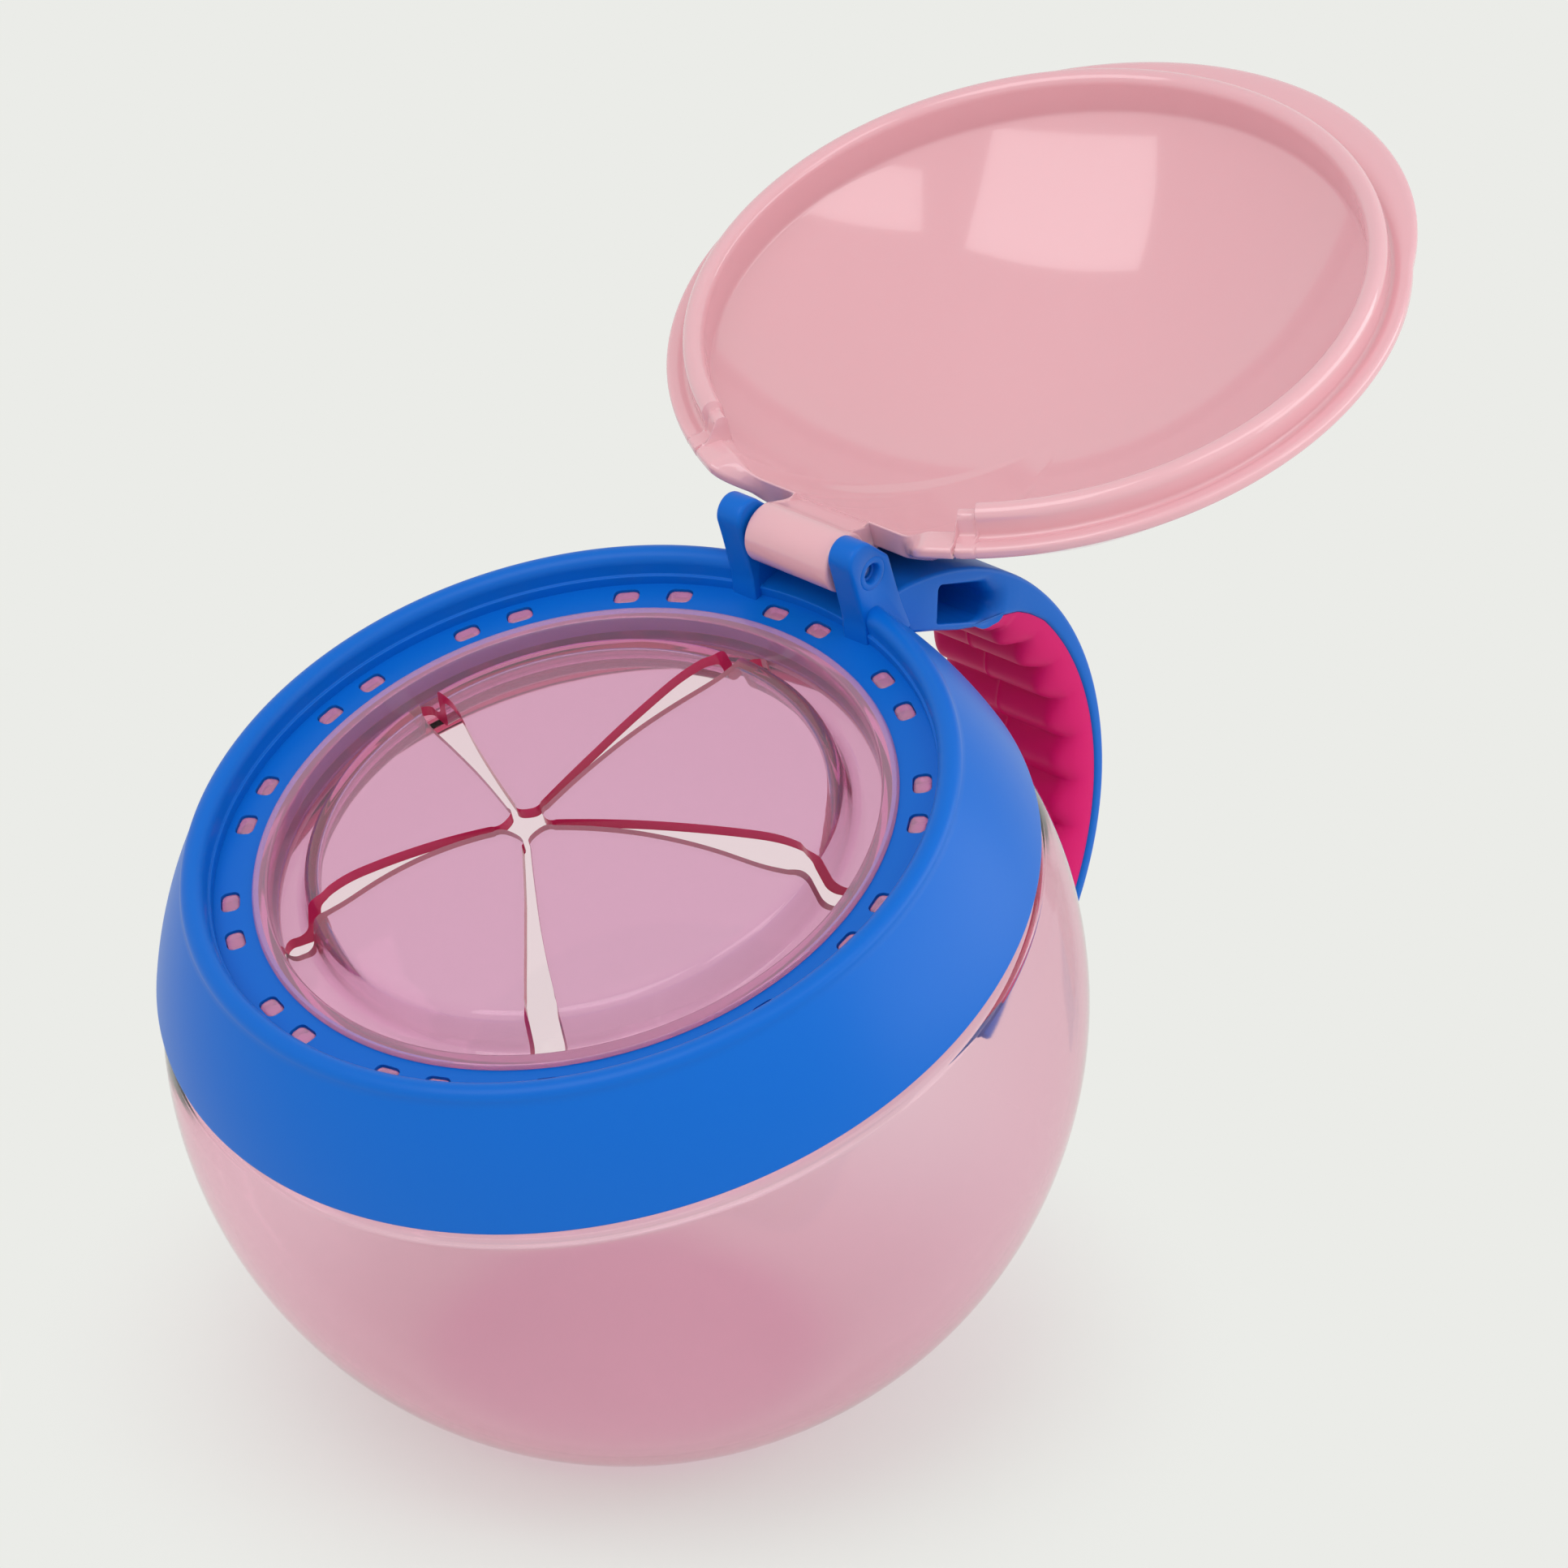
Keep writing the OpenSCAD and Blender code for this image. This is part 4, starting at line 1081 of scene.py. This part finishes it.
def clear_plastic(name, ior, roughness, dye, way_mm, waves_mm, height_mm, shadow, through=1.0, tone=(1, 1, 1)):
    """Clear tinted plastic: a smooth refracting face, a dye whose colour is what is left of white light
    after way_mm, and lamps that shine through it onto what stands behind, in the colour shadow."""
    material, out = new_material(name)
    tree = material.node_tree
    bump = moulded_bump(tree, waves_mm, height_mm)
    shader = add_node(tree, "ShaderNodeBsdfPrincipled", links=[("Normal", bump.outputs["Normal"])],
                      Base_Color=(*tone, 1), Roughness=roughness, IOR=ior, Transmission_Weight=through)
    lit = add_node(tree, "ShaderNodeBsdfTransparent", Color=(*shadow, 1))
    path = add_node(tree, "ShaderNodeLightPath")
    mix = add_node(tree, "ShaderNodeMixShader",
                   links=[(0, path.outputs["Is Shadow Ray"]), (1, shader.outputs[0]), (2, lit.outputs[0])])
    tree.links.new(mix.outputs[0], out.inputs["Surface"])
    rates = [-math.log(part) / (way_mm * MM) for part in dye]
    density = max(rates)
    volume = add_node(tree, "ShaderNodeVolumeAbsorption", Density=density,
                      Color=(*(1 - rate / density for rate in rates), 1))
    tree.links.new(volume.outputs[0], out.inputs["Volume"])
    return material


def make_materials(finish):
    """All materials of the object, by name."""
    elastomer = {"ior": 1.4, "dye": (0.94, 0.73, 0.85), "way_mm": 1.25, "waves_mm": 9, "height_mm": 0.015,
                 "shadow": (0.95, 0.82, 0.9)}
    return {
        # Copolyester, blown clear with a pink dye: sharp reflections, and the tint of two walls. It bends
        # light less than the plastic's 1.57, so that the strap shows through the ball where it should
        "cup": clear_plastic(
            "clear_pink_copolyester", ior=1.33, roughness=0.03, dye=(0.95, 0.79, 0.845), way_mm=1.0,
            waves_mm=26, height_mm=0.02, shadow=(0.975, 0.9, 0.93)),
        # Soft clear elastomer, moulded in a polished tool: wet gloss and a faint milkiness
        "membrane": clear_plastic(
            "clear_pink_elastomer", roughness=0.04, through=0.9, tone=(0.86, 0.72, 0.82), **elastomer),
        # The same elastomer where it is thick and its faces are duller, in the ring
        "ring": clear_plastic(
            "clouded_pink_elastomer", roughness=0.06, through=0.74, tone=(0.9, 0.6, 0.79), **elastomer),
        # The same elastomer where it is cut, painted an opaque deep red: a painted glow that stands in for the
        # light that gathers along the clear sheet and leaves deep red
        "cut": solid_finish("cut_elastomer_painted_glow", 1.2, 0.01, Base_Color=(*linear("#C42A5C"), 1), Roughness=0.15,
                            IOR=1.4),
        # Polypropylene, moulded with an even satin gloss and a little light inside
        "collar": solid_finish(
            "blue_polypropylene", 0.35, 0.002, Base_Color=(*finish.collar, 1), Roughness=0.36, IOR=1.49,
            Specular_IOR_Level=0.2, Subsurface_Weight=0.1, Subsurface_Radius=(0.2, 0.5, 1.0),
            Subsurface_Scale=1.0 * MM),
        # Thermoplastic elastomer over the strap: dull, with soft edges of light
        "grip": solid_finish(
            "magenta_elastomer", 0.3, 0.006, Base_Color=(*finish.grip, 1), Roughness=0.5, IOR=1.45,
            Specular_IOR_Level=0.25, Subsurface_Weight=0.2, Subsurface_Radius=(1.0, 0.3, 0.5),
            Subsurface_Scale=1.0 * MM),
        # Milky pink polypropylene of the lid: glossy, with a little light inside its thin dome
        "lid": solid_finish(
            "milky_pink_polypropylene", 14, 0.01, Base_Color=(*finish.lid, 1), Roughness=0.12, IOR=1.49,
            Coat_Weight=0.5, Coat_Roughness=0.04, Subsurface_Weight=0.12, Subsurface_Radius=(1.0, 0.55, 0.6),
            Subsurface_Scale=1.0 * MM),
        # Stainless steel wire, drawn: a greyish mirror with fine marks
        "pin": solid_finish("stainless_pin", 0.2, 0.004, Base_Color=(*linear("#C9CACC"), 1), Metallic=1.0,
                            Roughness=0.3),
    }


# Operators


class SnackOperator:
    """What the operators share."""

    bl_options = {"REGISTER", "UNDO"}


class SNACK_OT_cup(SnackOperator, bpy.types.Operator):
    """Builds the clear ball-shaped cup."""

    bl_idname = "snack.cup"
    bl_label = "Cup"

    def execute(self, context):
        s, made = all_sizes(context.scene), make_materials(context.scene.snack_finish)
        mesh = closed_mesh("cup", [cup_shell(s)], 60)
        place_piece("cup", mesh, [made["cup"]], ["cup_body"], body="cup")
        return {"FINISHED"}


class SNACK_OT_collar(SnackOperator, bpy.types.Operator):
    """Builds the collar with its ears and the hinge pin."""

    bl_idname = "snack.collar"
    bl_label = "Collar and pin"

    def execute(self, context):
        s, made = all_sizes(context.scene), make_materials(context.scene.snack_finish)
        mesh = closed_mesh("collar_ring", [collar_shell(s)], 50)
        place_piece("collar_ring", mesh, [made["collar"]], ["collar"], body="head")
        ears = closed_mesh("collar_ears", [ear_shell(s, -1), ear_shell(s, 1)], 50)
        place_piece("collar_ears", ears, [made["collar"]], ["collar"], body="head")
        pin = closed_mesh("pin", [pin_shell(s)])
        place_piece("pin", pin, [made["pin"]], ["hinge_pin"], body="head")
        return {"FINISHED"}


class SNACK_OT_handle(SnackOperator, bpy.types.Operator):
    """Builds the strap handle and its grip."""

    bl_idname = "snack.handle"
    bl_label = "Handle"

    def execute(self, context):
        s, made = all_sizes(context.scene), make_materials(context.scene.snack_finish)
        mesh = closed_mesh("strap", [strap_shell(s)], 40)
        place_piece("strap", mesh, [made["collar"]], ["handle_frame"], body="head")
        mesh = closed_mesh("grip", [grip_shell(s)], 60)
        place_piece("grip", mesh, [made["grip"]], ["handle_grip"], body="head")
        return {"FINISHED"}


class SNACK_OT_membrane(SnackOperator, bpy.types.Operator):
    """Builds the soft membrane: its ring with the keys, and the five flaps that run in from it."""

    bl_idname = "snack.membrane"
    bl_label = "Membrane"

    def execute(self, context):
        s, made = all_sizes(context.scene), make_materials(context.scene.snack_finish)
        mesh = closed_mesh("membrane_rim", membrane_ring_shells(s), 50)
        place_piece("membrane_rim", mesh, [made["ring"]], ["membrane_ring"], body="head")
        m = s.membrane
        middle = -m.trough_depth - m.flap_t / 2
        for n in range(1, 6):
            shell, cut = flap_shell(s, n)
            # the strips round each flap's edge take the cut material, whose deep red is a painted glow of the
            # light along the sheet
            mesh = closed_mesh(f"soft_flap_{n}", [shell], 35, second=cut)
            t = flap_dir(s, n)
            start, end = (tuple(ring_to_world(np.array([r * math.cos(t), r * math.sin(t), middle]), s) * MM)
                          for r in (ring_seam(s) - 0.1, m.plate_r + 1.0))
            place_piece(f"soft_flap_{n}", mesh, [made["membrane"], made["cut"]], [f"flap_{n}"],
                        between=("head", f"flap_{n}", start, end))
        return {"FINISHED"}


class SNACK_OT_lid(SnackOperator, bpy.types.Operator):
    """Builds the domed lid as it lies back, with its knuckle."""

    bl_idname = "snack.lid"
    bl_label = "Lid"

    def execute(self, context):
        s, made = all_sizes(context.scene), make_materials(context.scene.snack_finish)
        mesh = closed_mesh("domed_lid", [lid_shell(s), knuckle_shell(s)], 50)
        place_piece("domed_lid", mesh, [made["lid"]], ["lid"], body="lid")
        return {"FINISHED"}


def area_lamp(name, place, target, size, power, across):
    """An oblong soft lamp that faces its target: sizes in metres, power in watts, and across is the
    direction of its width."""
    data = bpy.data.lights.new(name, "AREA")
    data.shape = "RECTANGLE"
    data.size, data.size_y = size
    data.energy = power
    lamp = bpy.data.objects.new(name, data)
    bpy.context.scene.collection.objects.link(lamp)
    back = (Vector(place) - Vector(target)).normalized()
    side = Vector(across)
    side = (side - side.dot(back) * back).normalized()
    turn = Matrix((side, back.cross(side), back)).transposed()
    lamp.matrix_world = Matrix.Translation(place) @ turn.to_4x4()


def seen_directly(tree):
    """1 for rays from the camera, through clear pieces and off glossy ones, 0 for the rays that light."""
    path = add_node(tree, "ShaderNodeLightPath")
    seen = path.outputs["Is Camera Ray"]
    for kind in ("Is Transmission Ray", "Is Glossy Ray"):
        seen = add_node(tree, "ShaderNodeMath", links=[(0, seen), (1, path.outputs[kind])],
                        operation="MAXIMUM").outputs[0]
    return seen


class SNACK_OT_studio(SnackOperator, bpy.types.Operator):
    """Sets up the floor, the lamps, the white surroundings and the camera."""

    bl_idname = "snack.studio"
    bl_label = "Studio"

    def execute(self, context):
        scene = context.scene
        s = all_sizes(scene)
        pale = scene.snack_finish.floor
        self.floor(scene, pale)
        self.world(scene, pale)
        # two soft boxes, seen as windows in the lid's bowl
        bowl = (0.085, 0.012, 0.098)
        area_lamp("front_box", (-0.557, -0.079, 0.859), bowl, (0.83, 0.64), 3.5, (-0.30, 0.94, -0.14))
        area_lamp("side_box", (0.073, -0.72, 0.779), bowl, (0.62, 0.3), 1.1, (0.75, -0.35, -0.4))
        # a white wall beside the table lights the strap and the collar's side
        area_lamp("side_wall", (0.75, -0.80, 0.22), (0.0, 0.0, 0.05), (1.2, 0.7), 5.0, (0.75, 0.66, 0))
        self.camera(scene, s)
        # the soft membrane's cut edges are seen through many reflections inside it
        scene.cycles.max_bounces = 24
        scene.cycles.glossy_bounces = 16
        scene.cycles.transmission_bounces = 24
        scene.view_settings.view_transform = "Standard"
        return {"FINISHED"}

    def floor(self, scene, pale):
        """A wide floor that shows as the background to the camera and keeps the object's shadow."""
        turns = np.linspace(0, 2 * math.pi, 96, endpoint=False)
        floor_h = -0.1
        profile = np.array([[300.0, floor_h], [1500.0, floor_h], [6000.0, floor_h]])
        points, faces = patch(revolve(profile, turns), wrap_columns=True, first="fan")
        mesh = bpy.data.meshes.new("floor")
        mesh.from_pydata((points * MM).tolist(), [], faces)
        mesh.update()
        material, out = new_material("pale_paper_floor")
        tree = material.node_tree
        lit = add_node(tree, "ShaderNodeBsdfPrincipled", Base_Color=(*pale, 1), Roughness=0.9,
                       Specular_IOR_Level=0.1)
        # away from the object the backdrop shows its plain colour; near it the floor takes the shadow, and under
        # the foot a painted pink pool of light, standing in for the light that has come through the pink plastic,
        # is mixed into the plain colour
        where = add_node(tree, "ShaderNodeTexCoord")
        far = add_node(tree, "ShaderNodeVectorMath", links=[(0, where.outputs["Object"])], operation="LENGTH")
        fade = add_node(tree, "ShaderNodeMapRange", links=[("Value", far.outputs["Value"])],
                        interpolation_type="SMOOTHSTEP", From_Min=0.03, From_Max=0.066, To_Min=0.48)
        glow = add_node(tree, "ShaderNodeMapRange", links=[("Value", far.outputs["Value"])],
                        interpolation_type="SMOOTHSTEP", From_Min=0.017, From_Max=0.026)
        shade = add_node(tree, "ShaderNodeMix", links=[(0, glow.outputs["Result"])], data_type="RGBA")
        near, away = 6, 7  # the sockets of the two colours
        # the near colour, a pinker pale, is the painted pink light under the foot
        shade.inputs[near].default_value = (pale[0], 0.85 * pale[1], 0.95 * pale[2], 1)
        shade.inputs[away].default_value = (*pale, 1)
        even = add_node(tree, "ShaderNodeEmission", links=[("Color", shade.outputs[2])], Strength=1.0)
        share = add_node(tree, "ShaderNodeMath", links=[(0, seen_directly(tree)), (1, fade.outputs["Result"])],
                         operation="MULTIPLY")
        mix = add_node(tree, "ShaderNodeMixShader",
                       links=[(0, share.outputs[0]), (1, lit.outputs[0]), (2, even.outputs[0])])
        tree.links.new(mix.outputs[0], out.inputs["Surface"])
        floor = bpy.data.objects.new("floor", mesh)
        scene.collection.objects.link(floor)
        mesh.materials.append(material)

    def world(self, scene, pale):
        """Even white light, and the background's colour for the camera and behind glass."""
        world = scene.world or bpy.data.worlds.new("World")
        scene.world = world
        world.use_nodes = True
        tree = world.node_tree
        tree.nodes.clear()
        out = add_node(tree, "ShaderNodeOutputWorld")
        soft = add_node(tree, "ShaderNodeBackground", Color=(1, 1, 1, 1), Strength=0.62)
        shown = add_node(tree, "ShaderNodeBackground", Color=(*pale, 1), Strength=1.0)
        mix = add_node(tree, "ShaderNodeMixShader",
                       links=[(0, seen_directly(tree)), (1, soft.outputs[0]), (2, shown.outputs[0])])
        tree.links.new(mix.outputs[0], out.inputs["Surface"])

    def camera(self, scene, s):
        """The photograph's camera, fitted to the key holes and outlines."""
        azimuth, elevation = math.radians(-48.45), math.radians(28.60)
        focal_px, aside, lift, back = 9468.3, 21.087, 4.987, 772.46
        level = math.cos(elevation)
        to_camera = Vector((math.sin(azimuth) * level, -math.cos(azimuth) * level, math.sin(elevation)))
        right = Vector((math.cos(azimuth), math.sin(azimuth), 0))
        up = to_camera.cross(right)
        ring = Vector(ring_to_world(np.zeros(3), s).tolist())
        place = (ring + aside * right + lift * up + back * to_camera) * MM
        data = bpy.data.cameras.new("camera")
        data.sensor_width = 36
        data.lens = 36 * focal_px / PHOTO_SIZE
        data.clip_start, data.clip_end = 0.01, 20
        camera = bpy.data.objects.new("camera", data)
        scene.collection.objects.link(camera)
        turn = Matrix((right, up, to_camera)).transposed()
        camera.matrix_world = Matrix.Translation(place) @ turn.to_4x4()
        scene.camera = camera


OPERATORS = (SNACK_OT_cup, SNACK_OT_collar, SNACK_OT_handle, SNACK_OT_membrane, SNACK_OT_lid, SNACK_OT_studio)


class SNACK_PT_panel(bpy.types.Panel):
    """Lists the pieces and their sizes."""

    bl_idname = "SNACK_PT_panel"
    bl_label = "Snack container"
    bl_space_type = "VIEW_3D"
    bl_region_type = "UI"
    bl_category = "Snack container"

    def draw(self, context):
        for operator in OPERATORS:
            self.layout.operator(operator.bl_idname)
        for name, group in GROUPS.items():
            box = self.layout.box()
            box.label(text=group.__doc__)
            for p in getattr(context.scene, name).bl_rna.properties:
                if p.identifier not in ("rna_type", "name"):
                    box.prop(getattr(context.scene, name), p.identifier)


CLASSES = (*GROUPS.values(), *OPERATORS, SNACK_PT_panel)


def register():
    for cls in CLASSES:
        bpy.utils.register_class(cls)
    for name, group in GROUPS.items():
        setattr(bpy.types.Scene, name, PointerProperty(type=group))


def unregister():
    for name in GROUPS:
        delattr(bpy.types.Scene, name)
    for cls in reversed(CLASSES):
        bpy.utils.unregister_class(cls)


def main():
    register()
    bpy.ops.snack.studio()
    bpy.ops.snack.cup()
    bpy.ops.snack.collar()
    bpy.ops.snack.handle()
    bpy.ops.snack.membrane()
    bpy.ops.snack.lid()


if __name__ == "__main__":
    main()
